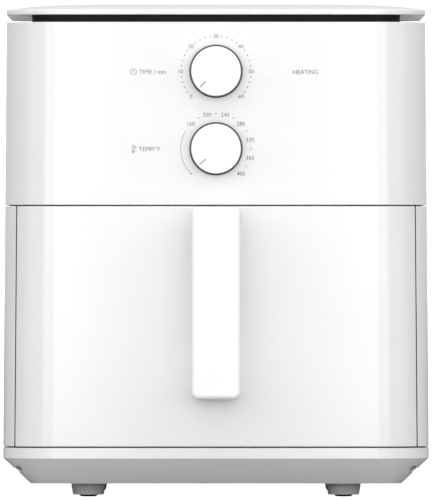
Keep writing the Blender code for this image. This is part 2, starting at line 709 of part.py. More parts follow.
def drawer_seal():
    """The silicone frame between the liner and the bezel."""
    half = BAY_HALF + SEAL_WIDTH
    return frame_plate("drawer_seal", half, BAY_FLOOR - SEAL_WIDTH / 4, BAY_ROOF, LINER_BACK + FIT,
                       LINER_BACK + FIT + SEAL_THICKNESS, half - SEAL_WIDTH,
                       BAY_FLOOR - SEAL_WIDTH / 4 + SEAL_WIDTH, BAY_ROOF - SEAL_WIDTH)


def drawer_pan():
    """The non-stick pan: leaning walls, rounded floor edge and a narrow rim."""
    half_depth = (PAN_BACK - PAN_FRONT) / 2
    bm = casing_form(PAN_FLOOR_HALF, PAN_TOP_HALF - PAN_RIM, half_depth, PAN_TOP - PAN_BOTTOM, PAN_CORNER)
    floor = end_face(bm, False)
    bmesh.ops.bevel(bm, geom=floor.edges, offset=PAN_FLOOR_ROUND, segments=2, profile=0.5, affect="EDGES")
    open_end(bm, True)
    top = PAN_TOP - PAN_BOTTOM
    rim = [e for e in bm.edges if e.is_boundary]
    grown = bmesh.ops.extrude_edge_only(bm, edges=rim)["geom"]
    for vert in [g for g in grown if isinstance(g, bmesh.types.BMVert)]:
        vert.co.x *= PAN_TOP_HALF / (PAN_TOP_HALF - PAN_RIM)
        vert.co.y *= (half_depth + PAN_RIM) / half_depth
        vert.co.z = top
    obj = solid("drawer_pan", bm, (0, PAN_MID, PAN_BOTTOM))
    hollow(obj, PAN_WALL)
    return obj


def handle():
    """The upright bar handle: a round-cornered block with the finger gap cut through it."""
    half = HANDLE_WIDTH / 2
    bm = bmesh.new()
    size = Matrix.Diagonal((HANDLE_WIDTH, HANDLE_PROUD - FIT, HANDLE_HEIGHT, 1))
    bmesh.ops.create_cube(bm, size=1.0, matrix=size)
    sides = [e for e in bm.edges if abs(e.verts[0].co.y - e.verts[1].co.y) > half / 4]
    bmesh.ops.bevel(bm, geom=sides, offset=HANDLE_CORNER, segments=4, profile=0.5, affect="EDGES")
    face = min(bm.faces, key=lambda f: f.calc_center_median().y)
    bmesh.ops.bevel(bm, geom=face.edges, offset=HANDLE_CORNER / 2, segments=3, profile=0.5, affect="EDGES")
    middle = (HANDLE_TOP + HANDLE_BOTTOM) / 2
    obj = solid("handle", bm, (0, FRONT - (HANDLE_PROUD + FIT) / 2, middle))
    gap = bmesh.new()
    depth = HANDLE_PROUD - HANDLE_THICKNESS
    bmesh.ops.create_cube(gap, size=1.0, matrix=Matrix.Diagonal(
        (2 * HANDLE_WIDTH, 2 * depth, HANDLE_HEIGHT - 2 * HANDLE_ARM, 1)))
    ends = [e for e in gap.edges if abs(e.verts[0].co.x - e.verts[1].co.x) > half]
    bmesh.ops.bevel(gap, geom=ends, offset=2 * HANDLE_CORNER, segments=4, profile=0.5, affect="EDGES")
    cut(obj, solid("finger_gap", gap, (0, FRONT, middle)))
    for height in handle_screw_heights():
        cut(obj, rod("handle_screw_bore", HANDLE_SCREW_RADIUS + FIT, HANDLE_SCREW_LENGTH,
                     (0, FRONT + SHELL_WALL, height), (math.pi / 2, 0, 0), 12))
    return obj


def handle_screw_heights():
    return HANDLE_TOP - HANDLE_ARM / 2, HANDLE_BOTTOM + HANDLE_ARM / 2


def handle_grip():
    """The soft strip on the finger side of the handle."""
    half = HANDLE_WIDTH / 2 - GRIP_MARGIN
    reach = HANDLE_HEIGHT / 2 - HANDLE_ARM - 2 * HANDLE_CORNER
    middle = (HANDLE_TOP + HANDLE_BOTTOM) / 2
    face = FRONT - HANDLE_PROUD + HANDLE_THICKNESS + FIT
    return block("handle_grip", (-half, face, middle - reach),
                 (half, face + GRIP_THICKNESS, middle + reach),
                 GRIP_THICKNESS / 4)


def handle_screws():
    """Two screws through the drawer front into the handle's arms."""
    made = []
    length = HANDLE_SCREW_LENGTH - 2 * FIT
    profile = [(0, length), (HANDLE_SCREW_RADIUS, length), (HANDLE_SCREW_RADIUS, 0),
               (HANDLE_SCREW_HEAD_RADIUS, 0), (HANDLE_SCREW_HEAD_RADIUS, -HANDLE_SCREW_HEAD),
               (0, -HANDLE_SCREW_HEAD)]
    for name, height in zip(("upper", "lower"), handle_screw_heights()):
        at = (0, FRONT + DRAWER_WALL + FIT, height)
        made.append(turned("handle_screw_" + name, profile, at, (math.pi / 2, 0, 0), 12))
    return made


def plate_half_sizes():
    """Half the crisper plate's width and depth, from the pan's inside at the plate's height."""
    lean = (PLATE_BOTTOM - PAN_BOTTOM) / (PAN_TOP - PAN_BOTTOM)
    inner = PAN_FLOOR_HALF + lean * (PAN_DRAFT - PAN_RIM) - PAN_WALL
    return inner - PLATE_EDGE_ROOM, (PAN_BACK - PAN_FRONT) / 2 - PAN_WALL - PLATE_EDGE_ROOM


def plate_foot_places():
    half_x, half_y = plate_half_sizes()
    return [(sx * (half_x - PLATE_FOOT_INSET), PAN_MID + sy * (half_y - PLATE_FOOT_INSET))
            for sy in (-1, 1) for sx in (-1, 1)]


def crisper_plate():
    """The perforated plate that holds the food above the pan floor."""
    half_x, half_y = plate_half_sizes()
    bm = casing_form(half_x, half_x, half_y, PLATE_THICKNESS, PAN_CORNER - PLATE_EDGE_ROOM)
    obj = solid("crisper_plate", bm, (0, PAN_MID, PLATE_BOTTOM))
    low, high = PLATE_BOTTOM - PLATE_THICKNESS, PLATE_TOP + PLATE_THICKNESS
    feet_at = plate_foot_places()
    room = PLATE_FOOT_RADIUS + 2 * PLATE_HOLE_RADIUS
    holes = [(x, PAN_MID + y)
             for x in spread(PLATE_HOLES, PLATE_HOLE_PITCH) for y in spread(PLATE_HOLES, PLATE_HOLE_PITCH)
             if all(math.dist((x, PAN_MID + y), place) > room for place in feet_at)
             and abs(x) < half_x - room and abs(y) < half_y - room]
    cut(obj, dowels("plate_holes", holes, PLATE_HOLE_RADIUS, low, high),
        dowels("plate_foot_holes", feet_at, PLATE_FOOT_NECK + FIT, low, high, 12))
    return obj


def plate_feet():
    """Four silicone feet buttoned through the crisper plate."""
    made = []
    top = PLATE_TOP - PLATE_BOTTOM + FIT
    bottom = -(PLATE_RISE - FIT)
    profile = [(0, top + PLATE_FOOT_CAP), (PLATE_FOOT_RADIUS * 0.7, top + PLATE_FOOT_CAP),
               (PLATE_FOOT_RADIUS, top),
               (PLATE_FOOT_NECK, top), (PLATE_FOOT_NECK, -FIT), (PLATE_FOOT_RADIUS, -FIT),
               (PLATE_FOOT_RADIUS * 0.8, bottom), (0, bottom)]
    for number, (x, y) in enumerate(plate_foot_places(), 1):
        made.append(turned(f"plate_foot_{number}", profile, (x, y, PLATE_BOTTOM), steps=16))
    return made


# ================================================================ chamber
def front_bezel():
    """The frame round the drawer's bay, seen when the drawer is out."""
    half = inner_half_width(BEZEL_FRONT, LOWER_TOP) - BEZEL_SIDE_GAP
    return frame_plate("front_bezel", half, LOWER_BOTTOM, LOWER_TOP, BEZEL_FRONT, BEZEL_BACK,
                       BAY_HALF - BAY_WALL, BAY_FLOOR + BAY_WALL, BAY_ROOF - BAY_WALL)


def pan_bay():
    """The bay the drawer slides into: open at the front, with a round hole in its roof."""
    half_depth = (BAY_BACK - BAY_FRONT) / 2
    bm = bmesh.new()
    bmesh.ops.create_cube(bm, size=2.0)
    for vert in bm.verts:
        vert.co.x *= BAY_HALF
        vert.co.y *= half_depth
        vert.co.z = BAY_ROOF - BAY_FLOOR if vert.co.z > 0 else 0.0
    rear = [e for e in upright_edges(bm) if e.verts[0].co.y > 0]
    bmesh.ops.bevel(bm, geom=rear, offset=BAY_CORNER, segments=5, profile=0.5, affect="EDGES")
    mouth = min(bm.faces, key=lambda f: f.calc_center_median().y)
    bmesh.ops.delete(bm, geom=[mouth], context="FACES_ONLY")
    obj = solid("pan_bay", bm, (0, CHAMBER_MID, BAY_FLOOR))
    hollow(obj, BAY_WALL)
    cut(obj, rod("heater_hole", REFLECTOR_RADIUS, 6 * BAY_WALL, (0, CHAMBER_MID, BAY_ROOF - 3 * BAY_WALL),
                 steps=REFLECTOR_STEPS))
    return obj


def reflector():
    """The steel dish over the bay: flange, wall and top, with holes for the shaft and element."""
    outer, top = REFLECTOR_RADIUS, REFLECTOR_TOP_RADIUS
    wall, height = REFLECTOR_WALL, REFLECTOR_HEIGHT
    bore = SHAFT_RADIUS + SHAFT_HOLE_ROOM
    edge = 4 * wall
    profile = [(bore, height), (top - edge, height), (top, height - edge), (outer, wall),
               (outer + REFLECTOR_FLANGE, wall), (outer + REFLECTOR_FLANGE, 0), (outer - wall, 0),
               (top - wall, height - edge), (top - edge, height - wall), (bore, height - wall),
               (bore, height)]
    obj = turned("reflector", profile, (0, CHAMBER_MID, REFLECTOR_BOTTOM), steps=REFLECTOR_STEPS)
    holes = [(point[0], point[1]) for point in (element_route()[0], element_route()[-1])]
    cut(obj, dowels("element_holes", holes, ELEMENT_RADIUS + FIT, REFLECTOR_TOP - 4 * wall,
                    REFLECTOR_TOP + 4 * wall, 12))
    return obj


def element_route():
    """The element's centre line: an outer ring, a turn inwards, and an inner ring back."""
    level = BAY_ROOF + ELEMENT_HEIGHT
    ends = REFLECTOR_TOP + ELEMENT_LEG
    half_gap = ELEMENT_GAP_ANGLE / 2
    start = math.pi / 2 + half_gap
    sweep = 2 * math.pi - ELEMENT_GAP_ANGLE
    middle = (ELEMENT_OUTER + ELEMENT_INNER) / 2
    half_pitch = ELEMENT_RING_PITCH / 2
    steps = 20

    def place(radius, angle, height=level):
        return (radius * math.cos(angle), CHAMBER_MID + radius * math.sin(angle), height)

    outer = [place(ELEMENT_OUTER, start + sweep * i / steps) for i in range(steps + 1)]
    bend = [place(middle + half_pitch * math.cos(turn), start + sweep + half_pitch * math.sin(turn) / middle)
            for turn in (math.pi / 4, math.pi / 2, 3 * math.pi / 4)]
    inner = [place(ELEMENT_INNER, start + sweep * (1 - i / steps)) for i in range(steps + 1)]
    first = place(ELEMENT_OUTER, start, ends)
    last = place(ELEMENT_INNER, start, ends)
    return [first, *outer, *bend, *inner, last]


def heating_element():
    return wire("heating_element", element_route(), ELEMENT_RADIUS)


def heater_guard():
    """Round wires under the element, welded to two lower cross wires."""
    height = BAY_ROOF - GUARD_DROP
    reach = REFLECTOR_RADIUS - GUARD_WIRE - 2 * FIT
    rings = []
    for i in range(GUARD_RINGS):
        radius = reach * (i + 1) / GUARD_RINGS
        section = [(radius + GUARD_WIRE * math.sin(turn), GUARD_WIRE * math.cos(turn))
                   for turn in [2 * math.pi * step / 6 for step in range(7)]]
        rings.append(turned(f"guard_ring_{i}", section, (0, CHAMBER_MID, height), steps=24))
    obj = rings.pop()
    obj.name = "heater_guard"
    join(obj, *rings)
    for number, angle in enumerate(GUARD_CROSS_ANGLES):
        bar = rod(f"guard_cross_{number}", GUARD_WIRE, 2 * reach,
                  (-reach * math.cos(angle), CHAMBER_MID - reach * math.sin(angle),
                   height - GUARD_WIRE * 0.6),
                  (0, math.pi / 2, angle), 6)
        join(obj, bar)
    return obj


# ================================================================ fan and motor
def fan(name, radius, blades, blade_height, disc, bottom, blades_below):
    """A fan: a disc, a hub with its bore and straight blades on one side."""
    bore, hub = SHAFT_RADIUS + FIT, FAN_HUB_RADIUS
    height = disc + blade_height
    disc_low = blade_height if blades_below else 0.0
    if blades_below:
        profile = [(bore, height), (radius, height), (radius, blade_height), (hub, blade_height),
                   (hub, 0), (bore, 0)]
    else:
        profile = [(bore, height), (hub, height), (hub, disc), (radius, disc), (radius, 0), (bore, 0)]
    profile.append(profile[0])
    at = (0, CHAMBER_MID, bottom)
    obj = turned(name, profile, at, steps=24)
    inner = 1.6 * hub
    length = radius - 2 * FIT - inner
    low = FIT if blades_below else disc / 2
    high = disc_low + disc / 2 if blades_below else height - FIT
    places = [Matrix.Translation((0, CHAMBER_MID, bottom + (low + high) / 2))
              @ Matrix.Rotation(2 * math.pi * i / blades, 4, "Z")
              @ Matrix.Translation((inner + length / 2, 0, 0))
              for i in range(blades)]
    join(obj, cluster(name + "_blades", places, (length, FAN_BLADE_THICKNESS, high - low)))
    return obj


def hot_air_fan():
    return fan("hot_air_fan", HOT_FAN_RADIUS, HOT_FAN_BLADES, HOT_FAN_BLADE, HOT_FAN_DISC,
               HOT_FAN_BOTTOM, True)


def cooling_fan():
    radius = min(COOL_FAN_RADIUS, BRACKET_REACH - BRACKET_LEG_WIDTH)
    return fan("cooling_fan", radius, COOL_FAN_BLADES, COOL_FAN_BLADE, HOT_FAN_DISC, COOL_FAN_BOTTOM, False)


def motor_shaft():
    low = HOT_FAN_BOTTOM - NUT_HEIGHT
    return rod("motor_shaft", SHAFT_RADIUS, MOTOR_TOP + SHAFT_ABOVE_MOTOR - low, (0, CHAMBER_MID, low))


def fan_nut():
    """The nut under the hot-air fan."""
    low = HOT_FAN_BOTTOM - FIT - NUT_HEIGHT
    obj = rod("fan_nut", NUT_RADIUS, NUT_HEIGHT, (0, CHAMBER_MID, low), steps=6)
    cut(obj, rod("nut_bore", SHAFT_RADIUS + FIT, 3 * NUT_HEIGHT, (0, CHAMBER_MID, low - NUT_HEIGHT)))
    return obj


def fan_motor():
    """The motor: a turned body with rounded edges and a through bore for its shaft."""
    bore, outer, height, edge = SHAFT_RADIUS + RUN, MOTOR_RADIUS, MOTOR_HEIGHT, MOTOR_EDGE
    profile = [(bore, height), (outer - edge, height), (outer, height - edge), (outer, edge),
               (outer - edge, 0),
               (bore, 0), (bore, height)]
    return turned("fan_motor", profile, (0, CHAMBER_MID, MOTOR_BOTTOM), steps=24)


def motor_bracket():
    """The sheet bracket that holds the motor above the reflector, on four legs."""
    reach = BRACKET_REACH
    obj = ring("motor_bracket", SHAFT_RADIUS + SHAFT_HOLE_ROOM, reach,
               BRACKET_RISE - BRACKET_SHEET, BRACKET_RISE,
               (0, CHAMBER_MID, BRACKET_FOOT), steps=24)
    high = BRACKET_RISE - BRACKET_SHEET / 2
    places = [Matrix.Translation((0, CHAMBER_MID, BRACKET_FOOT + high / 2))
              @ Matrix.Rotation(2 * math.pi * (i + 0.5) / BRACKET_LEGS, 4, "Z")
              @ Matrix.Translation((reach - 2 * BRACKET_SHEET, 0, 0)) for i in range(BRACKET_LEGS)]
    join(obj, cluster("bracket_legs", places, (BRACKET_SHEET, BRACKET_LEG_WIDTH, high)))
    return obj


def thermal_fuse():
    """The cut-out fuse lying on the reflector."""
    at = (-FUSE_LENGTH / 2, CHAMBER_MID - BRACKET_REACH - 4 * FUSE_RADIUS, REFLECTOR_TOP + FIT + FUSE_RADIUS)
    return rod("thermal_fuse", FUSE_RADIUS, FUSE_LENGTH, at, (0, math.pi / 2, 0), 12)


def exhaust_duct():
    """The short duct from the reflector's back to the outlet."""
    bm = bmesh.new()
    reach = REFLECTOR_RADIUS + REFLECTOR_FLANGE
    front = CHAMBER_MID + reach + 4 * FIT
    back = BACK - FIT
    bmesh.ops.create_cube(bm, size=1.0, matrix=Matrix.Diagonal((DUCT_WIDTH, back - front, DUCT_HEIGHT, 1)))
    ends = [f for f in bm.faces if abs(f.normal.y) > 0.5]
    bmesh.ops.delete(bm, geom=ends, context="FACES_ONLY")
    obj = solid("exhaust_duct", bm, (0, (front + back) / 2, GRILLE_MID_Z))
    hollow(obj, DUCT_WALL)
    return obj


def outlet_grille():
    """The rear outlet: a shallow tray with slots, standing proud so that air can leave by a wall."""
    bm = bmesh.new()
    size = Matrix.Diagonal((GRILLE_WIDTH, GRILLE_PROUD - FIT, GRILLE_HEIGHT, 1))
    bmesh.ops.create_cube(bm, size=1.0, matrix=size)
    sides = [e for e in bm.edges if abs(e.verts[0].co.y - e.verts[1].co.y) > GRILLE_PROUD / 2]
    bmesh.ops.bevel(bm, geom=sides, offset=GRILLE_CORNER, segments=4, profile=0.5, affect="EDGES")
    obj = solid("outlet_grille", bm, (0, BACK + (GRILLE_PROUD + FIT) / 2, GRILLE_MID_Z))
    hollow_half = GRILLE_WIDTH / 2 - GRILLE_FACE
    hollow_high = GRILLE_HEIGHT / 2 - GRILLE_FACE
    cut(obj, block("grille_inside", (-hollow_half, BACK - GRILLE_FACE, GRILLE_MID_Z - hollow_high),
                   (hollow_half, BACK + GRILLE_PROUD - GRILLE_FACE, GRILLE_MID_Z + hollow_high)))
    pitch = (GRILLE_HEIGHT - 2 * GRILLE_RIM) / GRILLE_SLOTS
    places = [Matrix.Translation((0, BACK + GRILLE_PROUD, GRILLE_MID_Z + z))
              for z in spread(GRILLE_SLOTS, pitch)]
    slot = (GRILLE_WIDTH - 2 * GRILLE_RIM, 3 * GRILLE_FACE, GRILLE_SLOT_HEIGHT)
    cut(obj, cluster("grille_slots", places, slot))
    return obj


def cord_gland():
    """The bushing in the back where the mains lead leaves."""
    profile = [(GLAND_BORE, GLAND_PROUD), (GLAND_RADIUS, GLAND_PROUD), (GLAND_RADIUS, FIT), (GLAND_NECK, FIT),
               (GLAND_NECK, -2 * SHELL_WALL), (GLAND_BORE, -2 * SHELL_WALL), (GLAND_BORE, GLAND_PROUD)]
    return turned("cord_gland", profile, (GLAND_X, BACK, BASE_TOP + GLAND_RISE), (-math.pi / 2, 0, 0), 24)


def rear_screws():
    """Two screws that hold the upper casing's back."""
    made = []
    neck = REAR_SCREW_RADIUS / 2
    profile = [(0, REAR_SCREW_HEAD), (REAR_SCREW_RADIUS * 0.8, REAR_SCREW_HEAD), (REAR_SCREW_RADIUS, FIT),
               (neck, FIT),
               (neck, -3 * SHELL_WALL), (0, -3 * SHELL_WALL)]
    for name, side in (("left", -1), ("right", 1)):
        at = (side * REAR_SCREW_SPREAD, BACK, UPPER_TOP - REAR_SCREW_DROP)
        made.append(turned("rear_screw_" + name, profile, at, (-math.pi / 2, 0, 0), 12))
    return made


# ================================================================ controls
def knob(name, height):
    """A dial knob: turned cap with a shaft socket and a pointer groove."""
    low = KNOB_RING_HEIGHT + FIT
    socket = low + DIAL_SHAFT_GRIP
    face = KNOB_RADIUS - KNOB_TAPER
    profile = [(0, KNOB_HEIGHT), (face - KNOB_EDGE, KNOB_HEIGHT),
               (face - KNOB_EDGE * 0.3, KNOB_HEIGHT - KNOB_EDGE * 0.3),
               (face, KNOB_HEIGHT - KNOB_EDGE), (KNOB_RADIUS, low), (DIAL_SHAFT_RADIUS + FIT, low),
               (DIAL_SHAFT_RADIUS + FIT, socket), (0, socket)]
    at = (0, FRONT - KNOB_STANDOFF, height)
    tilt = (math.pi / 2, 0, 0)
    obj = turned(name, profile, at, tilt, 28)
    reach = face - KNOB_EDGE - POINTER_EDGE - POINTER_LENGTH / 2
    turn = Matrix.Rotation(POINTER_ANGLE, 4, "Z")
    groove = cluster(name + "_groove", [turn @ Matrix.Translation((0, reach, KNOB_HEIGHT))],
                     (POINTER_WIDTH, POINTER_LENGTH, 2 * POINTER_DEPTH))
    groove.location = at
    groove.rotation_euler = tilt
    cut(obj, groove)
    return obj


def knob_ring(name, height):
    """The dark skirt ring behind the knob."""
    bore = DIAL_SHAFT_RADIUS + FIT
    edge = KNOB_RING_HEIGHT / 4
    profile = [(bore, KNOB_RING_HEIGHT), (KNOB_RING_RADIUS - edge, KNOB_RING_HEIGHT),
               (KNOB_RING_RADIUS, KNOB_RING_HEIGHT - edge), (KNOB_RING_RADIUS, 0), (bore, 0),
               (bore, KNOB_RING_HEIGHT)]
    return turned(name, profile, (0, FRONT - KNOB_STANDOFF, height), (math.pi / 2, 0, 0), 28)


def dial_shaft(name, height):
    """The spindle from the timer or thermostat into its knob."""
    back = CONTROL_FACE + CONTROL_SHEET
    front = FRONT - KNOB_STANDOFF - KNOB_RING_HEIGHT - DIAL_SHAFT_GRIP
    return rod(name, DIAL_SHAFT_RADIUS, back - front, (0, back, height), (math.pi / 2, 0, 0), 12)


CONTROL_FACE = FRONT + SHELL_WALL + FIT


def control_bracket():
    """The steel plate behind the panel that carries the timer and the thermostat."""
    high = TIME_KNOB_Z + TIMER_WIDTH / 2
    low = TEMP_KNOB_Z - THERMOSTAT_WIDTH / 2
    half = CONTROL_WIDTH / 2
    obj = block("control_bracket", (-half, CONTROL_FACE, low), (half, CONTROL_FACE + CONTROL_SHEET, high))
    for height in (TIME_KNOB_Z, TEMP_KNOB_Z):
        cut(obj, rod("bracket_hole", DIAL_SHAFT_RADIUS + RUN, 4 * CONTROL_SHEET,
                     (0, CONTROL_FACE + 2.5 * CONTROL_SHEET, height), (math.pi / 2, 0, 0), 16))
    return obj


def control_box(name, width, depth, height):
    """The housing of the timer or thermostat, behind the bracket."""
    front = CONTROL_FACE + CONTROL_SHEET + FIT
    return block(name, (-width / 2, front, height - width / 2),
                 (width / 2, front + depth, height + width / 2),
                 CONTROL_SHEET)


def timer_bell():
    """The bell on the back of the timer."""
    at = (0, CONTROL_FACE + CONTROL_SHEET + TIMER_DEPTH + 2 * FIT, TIME_KNOB_Z)
    profile = [(0, BELL_HEIGHT), (BELL_RADIUS * 0.6, BELL_HEIGHT), (BELL_RADIUS * 0.9, BELL_HEIGHT * 0.7),
               (BELL_RADIUS, 0), (0, 0)]
    return turned("timer_bell", profile, at, (-math.pi / 2, 0, 0), 20)


def bulb_place():
    """The near end of the thermostat's bulb, on the reflector's top."""
    return (FUSE_LENGTH, CHAMBER_MID - BRACKET_REACH - 2 * BULB_RADIUS, REFLECTOR_TOP + FIT + BULB_RADIUS)


def thermostat_bulb():
    return rod("thermostat_bulb", BULB_RADIUS, BULB_LENGTH, bulb_place(), (0, math.pi / 2, 0), 10)


def thermostat_capillary():
    """The thin tube from the thermostat to its bulb."""
    start = (THERMOSTAT_WIDTH / 4, CONTROL_FACE + CONTROL_SHEET + THERMOSTAT_DEPTH + 3 * FIT, TEMP_KNOB_Z)
    end_x, end_y, end_z = bulb_place()
    end = (end_x - FIT - CAPILLARY_RADIUS, end_y, end_z)
    sag = 0.006
    points = []
    for i in range(9):
        share = i / 8
        lift = sag * math.sin(math.pi * share)
        smooth = share * share * (3 - 2 * share)
        points.append((start[0] + (end[0] - start[0]) * smooth, start[1] + (end[1] - start[1]) * share,
                       start[2] + (end[2] - start[2]) * smooth + lift))
    return wire("thermostat_capillary", points, CAPILLARY_RADIUS)


def lamp_window():
    """The small square window of the heating lamp."""
    half = LAMP_SIZE / 2
    return block("lamp_window", (LAMP_X - half, FRONT - LAMP_PROUD, LAMP_Z - half),
                 (LAMP_X + half, FRONT + SHELL_WALL, LAMP_Z + half))


def indicator_lamp():
    at = (LAMP_X, FRONT + SHELL_WALL + FIT, LAMP_Z)
    return rod("indicator_lamp", LAMP_BODY_RADIUS, LAMP_BODY_LENGTH, at, (-math.pi / 2, 0, 0), 12)


def terminal_block():
    """The block where the mains lead is joined, inside the back."""
    width, depth, height = TERMINAL_SIZE
    back = BACK - SHELL_WALL - FIT
    low = DUCT_BOTTOM + DUCT_HEIGHT + TERMINAL_DUCT_GAP
    middle = TERMINAL_INSET - body_half_width(UPPER_TOP)
    return block("terminal_block", (middle - width / 2, back - depth, low),
                 (middle + width / 2, back, low + height), height / 12)


def drawer_switch():
    """The safety switch beside the bay, behind the bezel."""
    width, depth, height = SWITCH_SIZE
    low_x = -(BAY_HALF + FIT + width)
    top = LOWER_TOP - SWITCH_DROP
    return block("drawer_switch", (low_x, BEZEL_BACK + FIT, top - height),
                 (low_x + width, BEZEL_BACK + FIT + depth, top),
                 width / 12)


# ================================================================ assembly
def carrier(name, at, parent=None):
    """An empty that carries a moving group, on the group's joint axis."""
    empty = bpy.data.objects.new(name, None)
    empty.location = at
    empty.parent = parent
    if parent:
        empty.matrix_parent_inverse = Matrix.Translation(parent.location).inverted()
    collection("air_fryer").objects.link(empty)
    return empty


def fix(carrier_empty, pieces):
    """Colours each piece and hangs it on its carrier, where it stands."""
    for obj, finish in pieces:
        material(obj, finish)
        obj.parent = carrier_empty
        obj.matrix_parent_inverse = Matrix.Translation(carrier_empty.location).inverted()


def casing_pieces():
    return [(lid_cover(), "white_gloss"), (vent_collar(), "black_plastic"), (upper_shell(), "white_gloss"),
            (lower_shell(), "white_gloss"), (base_tray(), "white_gloss"), *feet()]


def fixed_inner_pieces():
    return [
        (front_bezel(), "dark_plastic"), (pan_bay(), "sheet_steel"), (reflector(), "sheet_steel"),
        (heating_element(), "element_steel"), (heater_guard(), "sheet_steel"), (fan_motor(), "aluminium"),
        (motor_bracket(), "sheet_steel"), (thermal_fuse(), "ceramic"), (exhaust_duct(), "sheet_steel"),
        (outlet_grille(), "white_gloss"), (cord_gland(), "black_plastic"),
        *[(screw, "sheet_steel") for screw in rear_screws()],
        (control_bracket(), "sheet_steel"),
        (control_box("timer", TIMER_WIDTH, TIMER_DEPTH, TIME_KNOB_Z), "dark_plastic"),
        (control_box("thermostat", THERMOSTAT_WIDTH, THERMOSTAT_DEPTH, TEMP_KNOB_Z), "ceramic"),
        (timer_bell(), "aluminium"), (thermostat_bulb(), "brass"), (thermostat_capillary(), "brass"),
        (lamp_window(), "clear_lens"), (indicator_lamp(), "lamp_glass"), (terminal_block(), "ceramic"),
        (drawer_switch(), "black_plastic"),
    ]


def drawer_pieces():
    return [(drawer_front(), "white_gloss"), (drawer_liner(), "dark_plastic"), (drawer_seal(), "silicone"),
            (drawer_pan(), "nonstick"), (handle(), "white_gloss"), (handle_grip(), "grey_plastic"),
            *[(screw, "sheet_steel") for screw in handle_screws()]]


def main():
    clear_scene()
    housing = carrier("housing", (0, 0, 0))
    fix(housing, casing_pieces() + fixed_inner_pieces())
    drawer = carrier("drawer", (0, FRONT, LOWER_BOTTOM), housing)
    fix(drawer, drawer_pieces())
    crisper = carrier("crisper", (0, PAN_MID, PLATE_BOTTOM), drawer)
    fix(crisper, [(crisper_plate(), "nonstick"), *[(foot, "silicone") for foot in plate_feet()]])
    rotor = carrier("rotor", (0, CHAMBER_MID, HOT_FAN_BOTTOM), housing)
    fix(rotor, [(motor_shaft(), "sheet_steel"), (hot_air_fan(), "aluminium"), (cooling_fan(), "aluminium"),
                (fan_nut(), "sheet_steel")])
    dials = (("time_knob", "timer_shaft", TIME_KNOB_Z), ("temp_knob", "thermostat_shaft", TEMP_KNOB_Z))
    for dial, shaft, height in dials:
        turning = carrier(dial + "_axis", (0, FRONT, height), housing)
        fix(turning, [(knob(dial, height), "white_gloss"),
                      (knob_ring(dial + "_ring", height), "dark_plastic"),
                      (dial_shaft(shaft, height), "aluminium")])


main()
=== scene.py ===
"""The looks of a white countertop air fryer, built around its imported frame.

Every sub-assembly is a class that models its visible pieces and dresses them. Metres, +Z up; the
front faces -Y.
"""

from __future__ import annotations

import logging
import math
from collections.abc import Callable, Iterable
from dataclasses import dataclass, field
from enum import Enum

import bmesh
import bpy
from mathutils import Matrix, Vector


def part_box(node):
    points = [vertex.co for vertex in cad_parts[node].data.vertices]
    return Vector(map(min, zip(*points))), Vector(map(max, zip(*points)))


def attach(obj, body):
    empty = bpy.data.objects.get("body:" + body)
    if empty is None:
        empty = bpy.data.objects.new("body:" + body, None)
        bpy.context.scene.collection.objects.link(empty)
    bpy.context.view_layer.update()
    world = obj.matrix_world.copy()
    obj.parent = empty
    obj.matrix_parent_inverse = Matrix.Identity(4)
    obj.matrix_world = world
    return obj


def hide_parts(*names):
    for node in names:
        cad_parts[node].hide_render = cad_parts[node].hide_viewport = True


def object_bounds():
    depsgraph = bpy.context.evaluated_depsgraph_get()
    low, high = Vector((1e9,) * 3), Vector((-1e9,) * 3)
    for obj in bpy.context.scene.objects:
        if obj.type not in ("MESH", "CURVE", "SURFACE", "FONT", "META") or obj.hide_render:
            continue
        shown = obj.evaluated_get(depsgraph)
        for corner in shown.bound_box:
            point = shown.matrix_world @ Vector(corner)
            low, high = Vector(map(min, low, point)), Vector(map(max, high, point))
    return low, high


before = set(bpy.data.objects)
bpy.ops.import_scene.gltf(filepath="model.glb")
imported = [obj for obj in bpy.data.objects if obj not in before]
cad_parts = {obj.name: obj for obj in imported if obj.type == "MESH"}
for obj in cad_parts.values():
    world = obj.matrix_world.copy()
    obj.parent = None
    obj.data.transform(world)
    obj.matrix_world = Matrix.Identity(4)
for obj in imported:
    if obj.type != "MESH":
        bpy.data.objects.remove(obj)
CAD_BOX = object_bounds()
LOG = logging.getLogger("air_fryer")

FLAT = 1e-5  # how close counts as on the same plane
SHARP = math.radians(32)


class Body(Enum):
    """The moving groups of the frame."""

    HOUSING = "housing"
    DRAWER = "drawer"
    CRISPER = "crisper"
    ROTOR = "rotor"
    TIME_DIAL = "time_dial"
    TEMP_DIAL = "temp_dial"


class Part(Enum):
    """What an edit selects."""

    VERT = "VERT"
    EDGE = "EDGE"
    FACE = "FACE"


